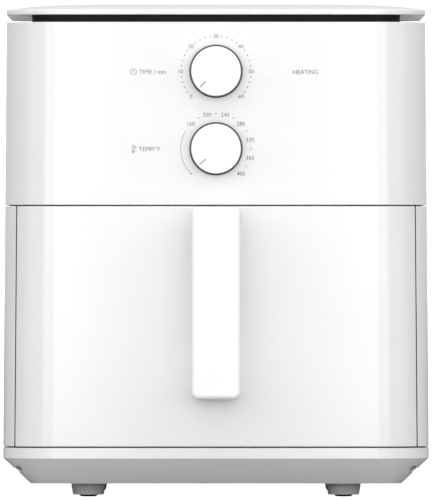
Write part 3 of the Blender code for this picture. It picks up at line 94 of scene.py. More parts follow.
# ==================================================================== modelling tools
class Bench:
    """The modelling operators, each with its selection made first."""

    @staticmethod
    def clear() -> None:
        """Deselects everything."""
        bpy.ops.object.select_all(action="DESELECT")

    @classmethod
    def take(cls, obj: bpy.types.Object) -> bpy.types.Object:
        """Makes an object the only selected and active one."""
        cls.clear()
        obj.select_set(True)
        bpy.context.view_layer.objects.active = obj
        return obj

    @classmethod
    def settle(cls, obj: bpy.types.Object) -> bpy.types.Object:
        """Puts an object's place, turn and scale into its mesh."""
        cls.take(obj)
        bpy.ops.object.transform_apply(location=True, rotation=True, scale=True)
        return obj

    @classmethod
    def block(cls, name: str, low: Vector, high: Vector) -> bpy.types.Object:
        """A box between two corners."""
        low, high = Vector(low), Vector(high)
        cls.clear()
        bpy.ops.mesh.primitive_cube_add(size=1, location=(low + high) / 2, scale=high - low)
        bpy.context.object.name = name
        return cls.settle(bpy.context.object)

    @classmethod
    def disc(cls, name: str, radius: float, low: float, high: float, place: Vector, sides: int = 64,
             top_radius: float | None = None, facing: tuple[float, float, float] = (0, 0,
                                                                                    0)) -> bpy.types.Object:
        """An upright round block between two heights over a place, then turned to face its way."""
        cls.clear()
        bpy.ops.mesh.primitive_cone_add(vertices=sides, radius1=radius, radius2=top_radius or radius,
                                        depth=high - low, location=(0, 0, (low + high) / 2))
        obj = cls.settle(bpy.context.object)
        obj.name = name
        obj.rotation_euler = facing
        obj.location = place
        return cls.settle(obj)

    @classmethod
    def edit(cls, obj: bpy.types.Object, part: Part, rule: Callable[[object], bool],
             *steps: Callable[[], object]) -> None:
        """Selects the parts of a mesh that a rule picks, in edit mode, and runs operators on them."""
        cls.take(obj)
        bpy.ops.object.mode_set(mode="EDIT")
        bpy.ops.mesh.select_mode(type=part.value)
        bpy.ops.mesh.select_all(action="DESELECT")
        bm = bmesh.from_edit_mesh(obj.data)
        items = {Part.VERT: bm.verts, Part.EDGE: bm.edges, Part.FACE: bm.faces}[part]
        for item in items:
            item.select_set(bool(rule(item)))
        if part is not Part.FACE:
            bm.select_flush_mode()
        bmesh.update_edit_mesh(obj.data)
        for step in steps:
            step()
        bpy.ops.object.mode_set(mode="OBJECT")

    @classmethod
    def bevel_edges(cls, obj: bpy.types.Object, rule: Callable[[bmesh.types.BMEdge], bool], width: float,
                    segments: int) -> None:
        """Rounds the edges that a rule picks."""
        cls.edit(obj, Part.EDGE, rule,
                 lambda: bpy.ops.mesh.bevel(offset=width, segments=segments, profile=0.5, affect="EDGES",
                                            clamp_overlap=False))

    @classmethod
    def apply(cls, obj: bpy.types.Object, kind: str, **settings: object) -> None:
        """Adds a modifier with these settings and applies it."""
        cls.take(obj)
        modifier = obj.modifiers.new(kind.lower(), kind)
        for key, value in settings.items():
            setattr(modifier, key, value)
        bpy.ops.object.modifier_apply(modifier=modifier.name)

    @classmethod
    def boolean(cls, obj: bpy.types.Object, tools: Iterable[bpy.types.Object],
                operation: str = "DIFFERENCE") -> None:
        """Cuts, joins or intersects with other pieces, which are used up."""
        for tool in tools:
            cls.apply(obj, "BOOLEAN", operation=operation, solver="EXACT", object=tool)
            bpy.data.objects.remove(tool, do_unlink=True)

    @classmethod
    def hollow(cls, obj: bpy.types.Object, wall: float) -> None:
        """Gives an open surface a wall on its inner side."""
        cls.apply(obj, "SOLIDIFY", thickness=wall, offset=-1, use_even_offset=True)

    @classmethod
    def finish(cls, obj: bpy.types.Object, soften: float = 0.0, segments: int = 2,
               angle: float = SHARP) -> None:
        """Softens the hard edges, then shades the piece smooth with its flat faces kept flat."""
        if soften:
            cls.apply(obj, "BEVEL", width=soften, segments=segments, limit_method="ANGLE",
                      angle_limit=angle,
                      use_clamp_overlap=True, miter_outer="MITER_ARC", harden_normals=False)
        cls.take(obj)
        bpy.ops.object.shade_smooth_by_angle(angle=angle)
        cls.apply(obj, "WEIGHTED_NORMAL", keep_sharp=True, weight=80)

    @classmethod
    def join(cls, name: str, pieces: list[bpy.types.Object]) -> bpy.types.Object:
        """Joins separate pieces into one object."""
        cls.clear()
        for piece in pieces:
            piece.select_set(True)
        bpy.context.view_layer.objects.active = pieces[0]
        if len(pieces) > 1:
            bpy.ops.object.join()
        pieces[0].name = name
        return pieces[0]

    @classmethod
    def refined(cls, node: str, soften: float, segments: int = 2, angle: float = SHARP) -> bpy.types.Object:
        """A finished copy of a frame node: merged, its flat faces made whole, its edges softened."""
        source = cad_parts[node]
        obj = bpy.data.objects.new(node + "_finished", source.data.copy())
        obj.data.materials.clear()
        bpy.context.scene.collection.objects.link(obj)
        cls.edit(obj, Part.VERT, lambda v: True,
                 lambda: bpy.ops.mesh.remove_doubles(threshold=0.00001),
                 lambda: bpy.ops.mesh.dissolve_limited(angle_limit=math.radians(0.5)))
        cls.take(obj)
        if obj.data.has_custom_normals:
            bpy.ops.mesh.customdata_custom_splitnormals_clear()
        cls.finish(obj, soften, segments, angle)
        return obj


def is_upright(edge: bmesh.types.BMEdge) -> bool:
    """Whether an edge runs mostly along Z."""
    span = edge.verts[0].co - edge.verts[1].co
    return abs(span.z) > 4 * max(abs(span.x), abs(span.y))


def at_height(height: float) -> Callable[[bmesh.types.BMVert | bmesh.types.BMFace], bool]:
    """A rule that picks what lies at one height."""
    def rule(item: bmesh.types.BMVert | bmesh.types.BMFace) -> bool:
        """Whether every corner is at the height."""
        corners = getattr(item, "verts", [item])
        return all(abs(corner.co.z - height) < FLAT for corner in corners)
    return rule


# ==================================================================== materials
class Nodes:
    """A small helper that adds and links shader nodes."""

    def __init__(self, tree: bpy.types.NodeTree) -> None:
        """Starts on an empty tree."""
        self.tree = tree
        tree.nodes.clear()

    def add(self, kind: str, inputs: dict[str | int, object] | None = None,
            **settings: object) -> bpy.types.Node:
        """Adds a node, with its settings, and sets or links its inputs.

        Args:
            kind: The node's type.
            inputs: Values or output sockets by input name or number.
            settings: Properties of the node.

        Returns:
            The new node.
        """
        node = self.tree.nodes.new(kind)
        for key, value in settings.items():
            setattr(node, key, value)
        for key, value in (inputs or {}).items():
            if isinstance(value, bpy.types.NodeSocket):
                self.tree.links.new(value, node.inputs[key])
            else:
                node.inputs[key].default_value = value
        return node

    def mix(self, factor: object, first: object, second: object) -> bpy.types.NodeSocket:
        """The mix of two colours by a factor."""
        node = self.add("ShaderNodeMix", data_type="RGBA")
        for socket, value in ((node.inputs[0], factor), (node.inputs[6], first), (node.inputs[7], second)):
            if isinstance(value, bpy.types.NodeSocket):
                self.tree.links.new(value, socket)
            else:
                socket.default_value = value
        return node.outputs[2]

    def maths(self, operation: str, *values: object, clamp: bool = False) -> bpy.types.NodeSocket:
        """The result of a Math node."""
        node = self.add("ShaderNodeMath", dict(enumerate(values)), operation=operation, use_clamp=clamp)
        return node.outputs[0]

    def spread(self, value: bpy.types.NodeSocket, low: float, high: float, out_low: float = 0.0,
               out_high: float = 1.0) -> bpy.types.NodeSocket:
        """A value spread from one range to another, kept inside it."""
        node = self.add("ShaderNodeMapRange", {0: value, 1: low, 2: high, 3: out_low, 4: out_high},
                        clamp=True)
        return node.outputs[0]


class Effects:
    """The shader groups that several finishes share, each made once."""

    made: dict[str, bpy.types.NodeTree] = {}

    @classmethod
    def group(cls, name: str, inputs: dict[str, float], outputs: list[str]) -> tuple[bpy.types.NodeTree,
                                                                                     bool]:
        """The group of this name, with its sockets, and whether it still has to be filled."""
        if name in cls.made:
            return cls.made[name], False
        tree = bpy.data.node_groups.new(name, "ShaderNodeTree")
        for socket, value in inputs.items():
            made = tree.interface.new_socket(socket, in_out="INPUT", socket_type="NodeSocketFloat")
            made.default_value = value
        for socket in outputs:
            tree.interface.new_socket(socket, in_out="OUTPUT", socket_type="NodeSocketFloat")
        cls.made[name] = tree
        return tree, True

    @classmethod
    def grain(cls) -> bpy.types.NodeTree:
        """Moulded surface: the slow waviness of a flow-filled shell and a fine grain over it."""
        tree, empty = cls.group("moulded_grain",
                                {"Grain Scale": 900.0, "Wave Scale": 22.0, "Grain Share": 0.5},
                                ["Height", "Wave"])
        if empty:
            nodes = Nodes(tree)
            given = nodes.add("NodeGroupInput")
            place = nodes.add("ShaderNodeTexCoord").outputs["Object"]
            fine = nodes.add("ShaderNodeTexNoise", {"Vector": place, "Scale": given.outputs["Grain Scale"],
                                                    "Detail": 3.0, "Roughness": 0.6})
            wave = nodes.add("ShaderNodeTexNoise", {"Vector": place, "Scale": given.outputs["Wave Scale"],
                                                    "Detail": 2.0, "Roughness": 0.4})
            fine_part = nodes.maths("MULTIPLY", fine.outputs["Fac"], given.outputs["Grain Share"])
            rest = nodes.maths("SUBTRACT", 1.0, given.outputs["Grain Share"])
            wave_part = nodes.maths("MULTIPLY", wave.outputs["Fac"], rest)
            height = nodes.maths("ADD", fine_part, wave_part)
            nodes.add("NodeGroupOutput", {"Height": height, "Wave": wave.outputs["Fac"]})
        return tree

    @classmethod
    def handling(cls) -> bpy.types.NodeTree:
        """Handling marks: soft smudges with the fine ridges of fingertips, and a few hairline scuffs."""
        tree, empty = cls.group("handling_marks", {"Smudge Scale": 16.0, "Cover": 0.5}, ["Smudge", "Scuff"])
        if empty:
            nodes = Nodes(tree)
            given = nodes.add("NodeGroupInput")
            place = nodes.add("ShaderNodeTexCoord").outputs["Object"]
            soft = nodes.add("ShaderNodeTexNoise", {"Vector": place, "Scale": given.outputs["Smudge Scale"],
                                                    "Detail": 4.0, "Roughness": 0.62, "Distortion": 0.6})
            ridges = nodes.add("ShaderNodeTexWave", {"Vector": place, "Scale": 260.0, "Distortion": 14.0,
                                                     "Detail": 2.0, "Detail Scale": 0.35})
            low = nodes.maths("SUBTRACT", 0.75, nodes.maths("MULTIPLY", given.outputs["Cover"], 0.4))
            over = nodes.maths("SUBTRACT", soft.outputs["Fac"], low)
            patch = nodes.maths("MULTIPLY", over, 7.0, clamp=True)
            ridge_part = nodes.spread(ridges.outputs["Fac"], 0.2, 0.8, 0.55, 1.0)
            smudge = nodes.maths("MULTIPLY", patch, ridge_part)
            long_way = nodes.add("ShaderNodeMapping", {"Vector": place, "Scale": (340.0, 340.0, 14.0),
                                                       "Rotation": (0.3, 0.5, 0.2)})
            lines = nodes.add("ShaderNodeTexNoise",
                              {"Vector": long_way.outputs[0], "Scale": 1.0, "Detail": 1.0})
            scuff = nodes.spread(lines.outputs["Fac"], 0.72, 0.76)
            nodes.add("NodeGroupOutput", {"Smudge": smudge, "Scuff": scuff})
        return tree

    @classmethod
    def edge_wear(cls) -> bpy.types.NodeTree:
        """Edges rubbed by use, broken up by noise."""
        tree, empty = cls.group("edge_wear", {"Reach": 0.53, "Break Up": 90.0}, ["Mask"])
        if empty:
            nodes = Nodes(tree)
            given = nodes.add("NodeGroupInput")
            place = nodes.add("ShaderNodeTexCoord").outputs["Object"]
            pointed = nodes.add("ShaderNodeNewGeometry").outputs["Pointiness"]
            noise = nodes.add("ShaderNodeTexNoise",
                              {"Vector": place, "Scale": given.outputs["Break Up"], "Detail": 4.0})
            over = nodes.maths("MULTIPLY", nodes.maths("SUBTRACT", pointed, given.outputs["Reach"]), 14.0,
                               clamp=True)
            broken = nodes.spread(noise.outputs["Fac"], 0.35, 0.62)
            nodes.add("NodeGroupOutput", {"Mask": nodes.maths("MULTIPLY", over, broken)})
        return tree

    @classmethod
    def brushing(cls) -> bpy.types.NodeTree:
        """Rolled or brushed metal: long fine lines and slow clouds of tone."""
        tree, empty = cls.group("brushing", {"Line Scale": 1400.0, "Stretch": 0.02}, ["Lines", "Cloud"])
        if empty:
            nodes = Nodes(tree)
            given = nodes.add("NodeGroupInput")
            place = nodes.add("ShaderNodeTexCoord").outputs["Object"]
            along = nodes.maths("MULTIPLY", given.outputs["Line Scale"], given.outputs["Stretch"])
            scale = nodes.add("ShaderNodeCombineXYZ", {"X": along, "Y": given.outputs["Line Scale"],
                                                       "Z": given.outputs["Line Scale"]})
            pulled = nodes.add("ShaderNodeVectorMath", {0: place, 1: scale.outputs[0]},
                               operation="MULTIPLY")
            lines = nodes.add("ShaderNodeTexNoise",
                              {"Vector": pulled.outputs[0], "Scale": 1.0, "Detail": 2.0})
            cloud = nodes.add("ShaderNodeTexNoise", {"Vector": place, "Scale": 24.0, "Detail": 4.0})
            nodes.add("NodeGroupOutput", {"Lines": lines.outputs["Fac"], "Cloud": cloud.outputs["Fac"]})
        return tree

    @classmethod
    def speckle(cls) -> bpy.types.NodeTree:
        """Small separate flecks, as in a coating or in settled dust."""
        tree, empty = cls.group("speckle", {"Fleck Scale": 900.0, "Size": 0.2}, ["Mask"])
        if empty:
            nodes = Nodes(tree)
            given = nodes.add("NodeGroupInput")
            place = nodes.add("ShaderNodeTexCoord").outputs["Object"]
            cells = nodes.add("ShaderNodeTexVoronoi",
                              {"Vector": place, "Scale": given.outputs["Fleck Scale"]})
            near = nodes.maths("SUBTRACT", given.outputs["Size"], cells.outputs["Distance"])
            nodes.add("NodeGroupOutput", {"Mask": nodes.maths("MULTIPLY", near, 9.0, clamp=True)})
        return tree


Colour = tuple[float, float, float]


def rgba(colour: Colour) -> tuple[float, float, float, float]:
    """A colour with full alpha."""
    return (*colour, 1.0)


@dataclass(frozen=True)
class Plastic:
    """A moulded plastic: its tone drifts a little, its gloss is broken by handling, its skin has a grain."""

    name: str
    colour: Colour
    worn: Colour
    roughness: float
    smudged: float
    bump: float
    grain_scale: float = 900.0
    grain_share: float = 0.5
    cover: float = 0.5
    wear: float = 0.3
    coat: float = 0.0
    drift: float = 0.965  # the deeper of its two tones, as a share
    slot: str = "white_gloss"

    def make(self) -> bpy.types.Material:
        """Builds the material."""
        material = bpy.data.materials.new(self.name)
        material.use_nodes = True
        nodes = Nodes(material.node_tree)
        grain = nodes.add("ShaderNodeGroup", node_tree=Effects.grain())
        grain.inputs["Grain Scale"].default_value = self.grain_scale
        grain.inputs["Grain Share"].default_value = self.grain_share
        marks = nodes.add("ShaderNodeGroup", node_tree=Effects.handling())
        marks.inputs["Cover"].default_value = self.cover
        wear = nodes.add("ShaderNodeGroup", node_tree=Effects.edge_wear())
        dust = nodes.add("ShaderNodeGroup", node_tree=Effects.speckle())
        dust.inputs["Fleck Scale"].default_value = 420.0
        dust.inputs["Size"].default_value = 0.07
        deep = tuple(channel * self.drift for channel in self.colour)
        tone = nodes.mix(nodes.spread(grain.outputs["Wave"], 0.35, 0.65), rgba(self.colour), rgba(deep))
        rubbed = nodes.mix(nodes.maths("MULTIPLY", wear.outputs["Mask"], self.wear), tone, rgba(self.worn))
        dusted = nodes.mix(nodes.maths("MULTIPLY", dust.outputs["Mask"], 0.10), rubbed,
                           rgba((0.55, 0.54, 0.52)))
        smooth = nodes.spread(marks.outputs["Smudge"], 0.0, 1.0, self.roughness, self.smudged)
        scuffed = nodes.maths("ADD", smooth, nodes.maths("MULTIPLY", marks.outputs["Scuff"], 0.10))
        bump = nodes.add("ShaderNodeBump", {"Height": grain.outputs["Height"], "Strength": 0.6,
                                            "Distance": self.bump})
        shader = nodes.add("ShaderNodeBsdfPrincipled", {
            "Base Color": dusted, "Roughness": scuffed, "Normal": bump.outputs[0], "IOR": 1.5,
            "Coat Weight": self.coat, "Coat Roughness": 0.12})
        nodes.add("ShaderNodeOutputMaterial", {"Surface": shader.outputs[0]})
        return material


@dataclass(frozen=True)
class Metal:
    """Sheet or turned metal: brushed lines, clouds of heat tint or grease, and brighter rubbed edges."""

    name: str
    colour: Colour
    tint: Colour
    roughness: float
    slot: str
    stretch: float = 0.02
    tint_share: float = 0.35
    bump: float = 0.00001

    def make(self) -> bpy.types.Material:
        """Builds the material."""
        material = bpy.data.materials.new(self.name)
        material.use_nodes = True
        nodes = Nodes(material.node_tree)
        brush = nodes.add("ShaderNodeGroup", node_tree=Effects.brushing())
        brush.inputs["Stretch"].default_value = self.stretch
        wear = nodes.add("ShaderNodeGroup", node_tree=Effects.edge_wear())
        marks = nodes.add("ShaderNodeGroup", node_tree=Effects.handling())
        clouded = nodes.maths("MULTIPLY", nodes.spread(brush.outputs["Cloud"], 0.42, 0.7), self.tint_share)
        tone = nodes.mix(clouded, rgba(self.colour), rgba(self.tint))
        bright = tuple(min(1.0, channel * 1.25) for channel in self.colour)
        rubbed = nodes.mix(nodes.maths("MULTIPLY", wear.outputs["Mask"], 0.6), tone, rgba(bright))
        lined = nodes.spread(brush.outputs["Lines"], 0.3, 0.7, self.roughness * 0.8, self.roughness * 1.25)
        rough = nodes.maths("ADD", lined, nodes.maths("MULTIPLY", marks.outputs["Smudge"], 0.12))
        bump = nodes.add("ShaderNodeBump", {"Height": brush.outputs["Lines"], "Strength": 0.5,
                                            "Distance": self.bump})
        shader = nodes.add("ShaderNodeBsdfPrincipled", {"Base Color": rubbed, "Roughness": rough,
                                                        "Normal": bump.outputs[0], "Metallic": 1.0})
        nodes.add("ShaderNodeOutputMaterial", {"Surface": shader.outputs[0]})
        return material


@dataclass(frozen=True)
class Coating:
    """A non-stick coating: dark, with fine mineral flecks, a pebbled skin and wiped streaks."""

    name: str
    colour: Colour
    fleck: Colour
    roughness: float
    slot: str = "nonstick"

    def make(self) -> bpy.types.Material:
        """Builds the material."""
        material = bpy.data.materials.new(self.name)
        material.use_nodes = True
        nodes = Nodes(material.node_tree)
        flecks = nodes.add("ShaderNodeGroup", node_tree=Effects.speckle())
        flecks.inputs["Fleck Scale"].default_value = 520.0
        flecks.inputs["Size"].default_value = 0.13
        grain = nodes.add("ShaderNodeGroup", node_tree=Effects.grain())
        grain.inputs["Grain Scale"].default_value = 1500.0
        grain.inputs["Grain Share"].default_value = 0.8
        marks = nodes.add("ShaderNodeGroup", node_tree=Effects.handling())
        marks.inputs["Smudge Scale"].default_value = 26.0
        wear = nodes.add("ShaderNodeGroup", node_tree=Effects.edge_wear())
        tone = nodes.mix(nodes.maths("MULTIPLY", flecks.outputs["Mask"], 0.55), rgba(self.colour),
                         rgba(self.fleck))
        rubbed = nodes.mix(nodes.maths("MULTIPLY", wear.outputs["Mask"], 0.5), tone, rgba((0.2, 0.2, 0.21)))
        rough = nodes.spread(marks.outputs["Smudge"], 0.0, 1.0, self.roughness, self.roughness + 0.18)
        bump = nodes.add("ShaderNodeBump", {"Height": grain.outputs["Height"], "Strength": 0.8,
                                            "Distance": 0.00006})
        shader = nodes.add("ShaderNodeBsdfPrincipled", {"Base Color": rubbed, "Roughness": rough,
                                                        "Normal": bump.outputs[0], "Coat Weight": 0.15,
                                                        "Coat Roughness": 0.3})
        nodes.add("ShaderNodeOutputMaterial", {"Surface": shader.outputs[0]})
        return material


@dataclass(frozen=True)
class Ink:
    """Pad-printed ink, with the slight unevenness of its film; the pointer grooves' grey lining, which is
    painted shade, is made with it too.
    """

    name: str
    colour: Colour
    slot: str = "white_gloss"

    def make(self) -> bpy.types.Material:
        """Builds the material."""
        material = bpy.data.materials.new(self.name)
        material.use_nodes = True
        nodes = Nodes(material.node_tree)
        grain = nodes.add("ShaderNodeGroup", node_tree=Effects.grain())
        thin = tuple(min(1.0, channel * 1.5) for channel in self.colour)
        tone = nodes.mix(nodes.spread(grain.outputs["Height"], 0.45, 0.7, 0.0, 0.6), rgba(self.colour),
                         rgba(thin))
        rough = nodes.spread(grain.outputs["Height"], 0.3, 0.7, 0.35, 0.5)
        shader = nodes.add("ShaderNodeBsdfPrincipled", {"Base Color": tone, "Roughness": rough})
        nodes.add("ShaderNodeOutputMaterial", {"Surface": shader.outputs[0]})
        return material


@dataclass(frozen=True)
class Lens:
    """The lamp's milky window, with a faint glow."""

    name: str
    colour: Colour
    glow: float
    slot: str = "clear_lens"

    def make(self) -> bpy.types.Material:
        """Builds the material."""
        material = bpy.data.materials.new(self.name)
        material.use_nodes = True
        nodes = Nodes(material.node_tree)
        grain = nodes.add("ShaderNodeGroup", node_tree=Effects.grain())
        milky = nodes.mix(grain.outputs["Wave"], rgba(self.colour), rgba((1.0, 1.0, 1.0)))
        rough = nodes.spread(grain.outputs["Height"], 0.3, 0.7, 0.08, 0.16)
        shader = nodes.add("ShaderNodeBsdfPrincipled", {
            "Base Color": milky, "Roughness": rough, "Emission Color": milky,
            "Emission Strength": self.glow,
            "Coat Weight": 1.0, "Coat Roughness": 0.04})
        nodes.add("ShaderNodeOutputMaterial", {"Surface": shader.outputs[0]})
        return material


MADE: dict[str, bpy.types.Material] = {}  # the finishes' materials, by finish


class Finish(Enum):
    """Every finish on the fryer."""

    SHELL = Plastic("shell_white", (0.88, 0.88, 0.88), (0.93, 0.93, 0.93), 0.30, 0.40, 0.00002, coat=1.0,
                    drift=0.985)
    # the handle and knob whites are brighter copies of the shell's white: painted light, so these proud
    # pieces read brighter than the shaded panel round them
    HANDLE = Plastic("handle_white_painted_bright", (0.965, 0.965, 0.965), (0.98, 0.98, 0.98), 0.26, 0.34, 0.00002,
                     cover=0.3, coat=1.0, drift=0.992)
    KNOB = Plastic("knob_white_painted_bright", (0.965, 0.965, 0.965), (0.98, 0.98, 0.98), 0.24, 0.32, 0.00002, cover=0.3,
                   coat=1.0, drift=0.992)
    VENT = Plastic("vent_black", (0.003, 0.003, 0.003), (0.02, 0.02, 0.02), 0.66, 0.76, 0.00008, 1400.0,
                   0.8,
                   slot="black_plastic")
    RING = Plastic("ring_dark", (0.05, 0.05, 0.052), (0.16, 0.16, 0.16), 0.28, 0.4, 0.00003,
                   slot="dark_plastic")
    INNER = Plastic("inner_dark", (0.045, 0.045, 0.048), (0.11, 0.11, 0.11), 0.42, 0.58, 0.00010, 1500.0,
                    0.85,
                    slot="dark_plastic")
    FOOT = Plastic("foot_grey", (0.80, 0.80, 0.80), (0.86, 0.86, 0.86), 0.45, 0.6, 0.00010, 1300.0, 0.85,
                   slot="grey_plastic")
    GRIP = Plastic("grip_grey", (0.40, 0.40, 0.405), (0.55, 0.55, 0.55), 0.55, 0.7, 0.00016, 1100.0, 0.9,
                   slot="grey_plastic")
    RUBBER = Plastic("pad_rubber", (0.014, 0.014, 0.014), (0.05, 0.05, 0.05), 0.72, 0.85, 0.00014, 1600.0,
                     0.9,
                     slot="rubber")
    SILICONE = Plastic("silicone_grey", (0.075, 0.075, 0.08), (0.14, 0.14, 0.14), 0.6, 0.72, 0.00005,
                       slot="silicone")
    CERAMIC = Plastic("ceramic_cream", (0.80, 0.77, 0.69), (0.88, 0.86, 0.8), 0.6, 0.75, 0.00012, 1200.0,
                      0.8,
                      slot="ceramic")
    SHEET = Metal("rolled_steel", (0.56, 0.565, 0.57), (0.40, 0.37, 0.31), 0.28, "sheet_steel")
    SCREW = Metal("screw_steel", (0.62, 0.62, 0.62), (0.45, 0.44, 0.42), 0.3, "sheet_steel", stretch=0.6)
    ELEMENT = Metal("element_sheath", (0.20, 0.18, 0.17), (0.24, 0.15, 0.10), 0.42, "element_steel", 0.5,
                    0.8)
    ALUMINIUM = Metal("cast_aluminium", (0.72, 0.725, 0.73), (0.5, 0.5, 0.49), 0.34, "aluminium",
                      stretch=0.3)
    BRASS = Metal("bright_brass", (0.72, 0.54, 0.24), (0.5, 0.33, 0.14), 0.26, "brass", stretch=0.3)
    NONSTICK = Coating("nonstick_black", (0.022, 0.022, 0.024), (0.20, 0.20, 0.21), 0.34)
    PRINT = Ink("print_grey", (0.13, 0.13, 0.135))
    # grey film in the pointer grooves: painted shade in the recess
    MARK = Ink("pointer_groove_painted_shade", (0.55, 0.55, 0.56))
    LENS = Lens("lamp_lens", (0.97, 0.97, 0.95), 0.35)
    LAMP = Lens("lamp_envelope", (0.88, 0.88, 0.86), 0.15, slot="lamp_glass")

    def material(self) -> bpy.types.Material:
        """The finish's material, made when first asked for."""
        if self.name not in MADE:
            MADE[self.name] = self.value.make()
        return MADE[self.name]


def dress(obj: bpy.types.Object, finish: Finish, body: Body, *replaced: str) -> bpy.types.Object:
    """Gives a new piece its finish, its body and the frame nodes that it stands for.

    Args:
        obj: The piece.
        finish: Its finish.
        body: The group that it moves with.
        replaced: Frame nodes that it stands for.

    Returns:
        The piece.
    """
    obj.data.materials.clear()
    obj.data.materials.append(finish.material())
    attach(obj, body.value)
    if replaced:
        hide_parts(*replaced)
    return obj


# ==================================================================== casing
@dataclass
class CasingForm:
    """The outer form that every casing piece is cut from."""

    corner: float = 0.034
    corner_segments: int = 18
    wall: float = 0.0026
    joint_inset: float = 0.00845  # the drawer's side joint, in from the side
    joint: float = 0.0008
    trim: float = 0.0002  # the drawer face fills this much of its side joints
    soften: float = 0.0006
    band: float = 0.007
    collar_wall: float = 0.0024
    collar_ledge: float = 0.006
    band_low: float = field(init=False)
    base_top: float = field(init=False)
    ledge: float = field(init=False)
    widest: float = field(init=False)
    top: float = field(init=False)
    narrowest: float = field(init=False)
    front: float = field(init=False)
    back: float = field(init=False)

    def __post_init__(self) -> None:
        """Reads the outline from the frame."""
        base_low, base_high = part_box("base_tray")
        self.front, self.back = base_low.y, base_high.y
        self.widest = base_high.x
        self.base_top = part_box("lower_shell")[0].z - self.joint
        self.band_low = self.base_top - self.band
        upper_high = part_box("upper_shell")[1]
        self.top = upper_high.z
        self.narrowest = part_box("lid_cover")[1].x
        self.ledge = self.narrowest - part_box("vent_collar")[1].x + self.collar_wall + self.collar_ledge

    @property
    def middle(self) -> float:
        """The casing's middle along Y."""
        return (self.front + self.back) / 2

    def half(self, height: float) -> float:
        """Half the casing's width at a height."""
        share = (height - self.band_low) / (self.top - self.band_low)
        return self.widest + (self.narrowest - self.widest) * share

    def slice(self, name: str, low: float, high: float, inset: float = 0.0,
              half_low: float | None = None, half_high: float | None = None) -> bpy.types.Object:
        """The outer form between two heights, with round upright corners.

        Args:
            name: The piece's name.
            low: Lower height.
            high: Upper height.
            inset: How far in from the outer form, all round.
            half_low: Half width at the lower height, where it isn't the casing's.
            half_high: Half width at the upper height, where it isn't the casing's.

        Returns:
            A closed piece.
        """
        bottom = (half_low or self.half(low)) - inset
        lid = (half_high or self.half(high)) - inset
        obj = Bench.block(name, (-bottom, self.front + inset, low), (bottom, self.back - inset, high))
        Bench.edit(obj, Part.FACE, at_height(high),
                   lambda: bpy.ops.transform.resize(value=(lid / bottom, 1, 1),
                                                    center_override=(0, self.middle, high)))
        Bench.bevel_edges(obj, is_upright, self.corner - inset, self.corner_segments)
        return obj

    def zone(self, name: str, low: float, high: float, grow: float, back: float) -> bpy.types.Object:
        """A leaning block over the drawer's front, for cutting along its side joints."""
        bottom = self.half(low) - self.joint_inset + grow
        lid = self.half(high) - self.joint_inset + grow
        obj = Bench.block(name, (-bottom, self.front - self.corner, low), (bottom, back, high))
        Bench.edit(obj, Part.FACE, at_height(high),
                   lambda: bpy.ops.transform.resize(value=(lid / bottom, 1, 1),
                                                    center_override=(0, 0, high)))
        return obj

    @staticmethod
    def open_at(obj: bpy.types.Object, *heights: float) -> None:
        """Removes the flat ends at these heights."""
        for height in heights:
            Bench.edit(obj, Part.FACE, at_height(height), lambda: bpy.ops.mesh.delete(type="ONLY_FACE"))


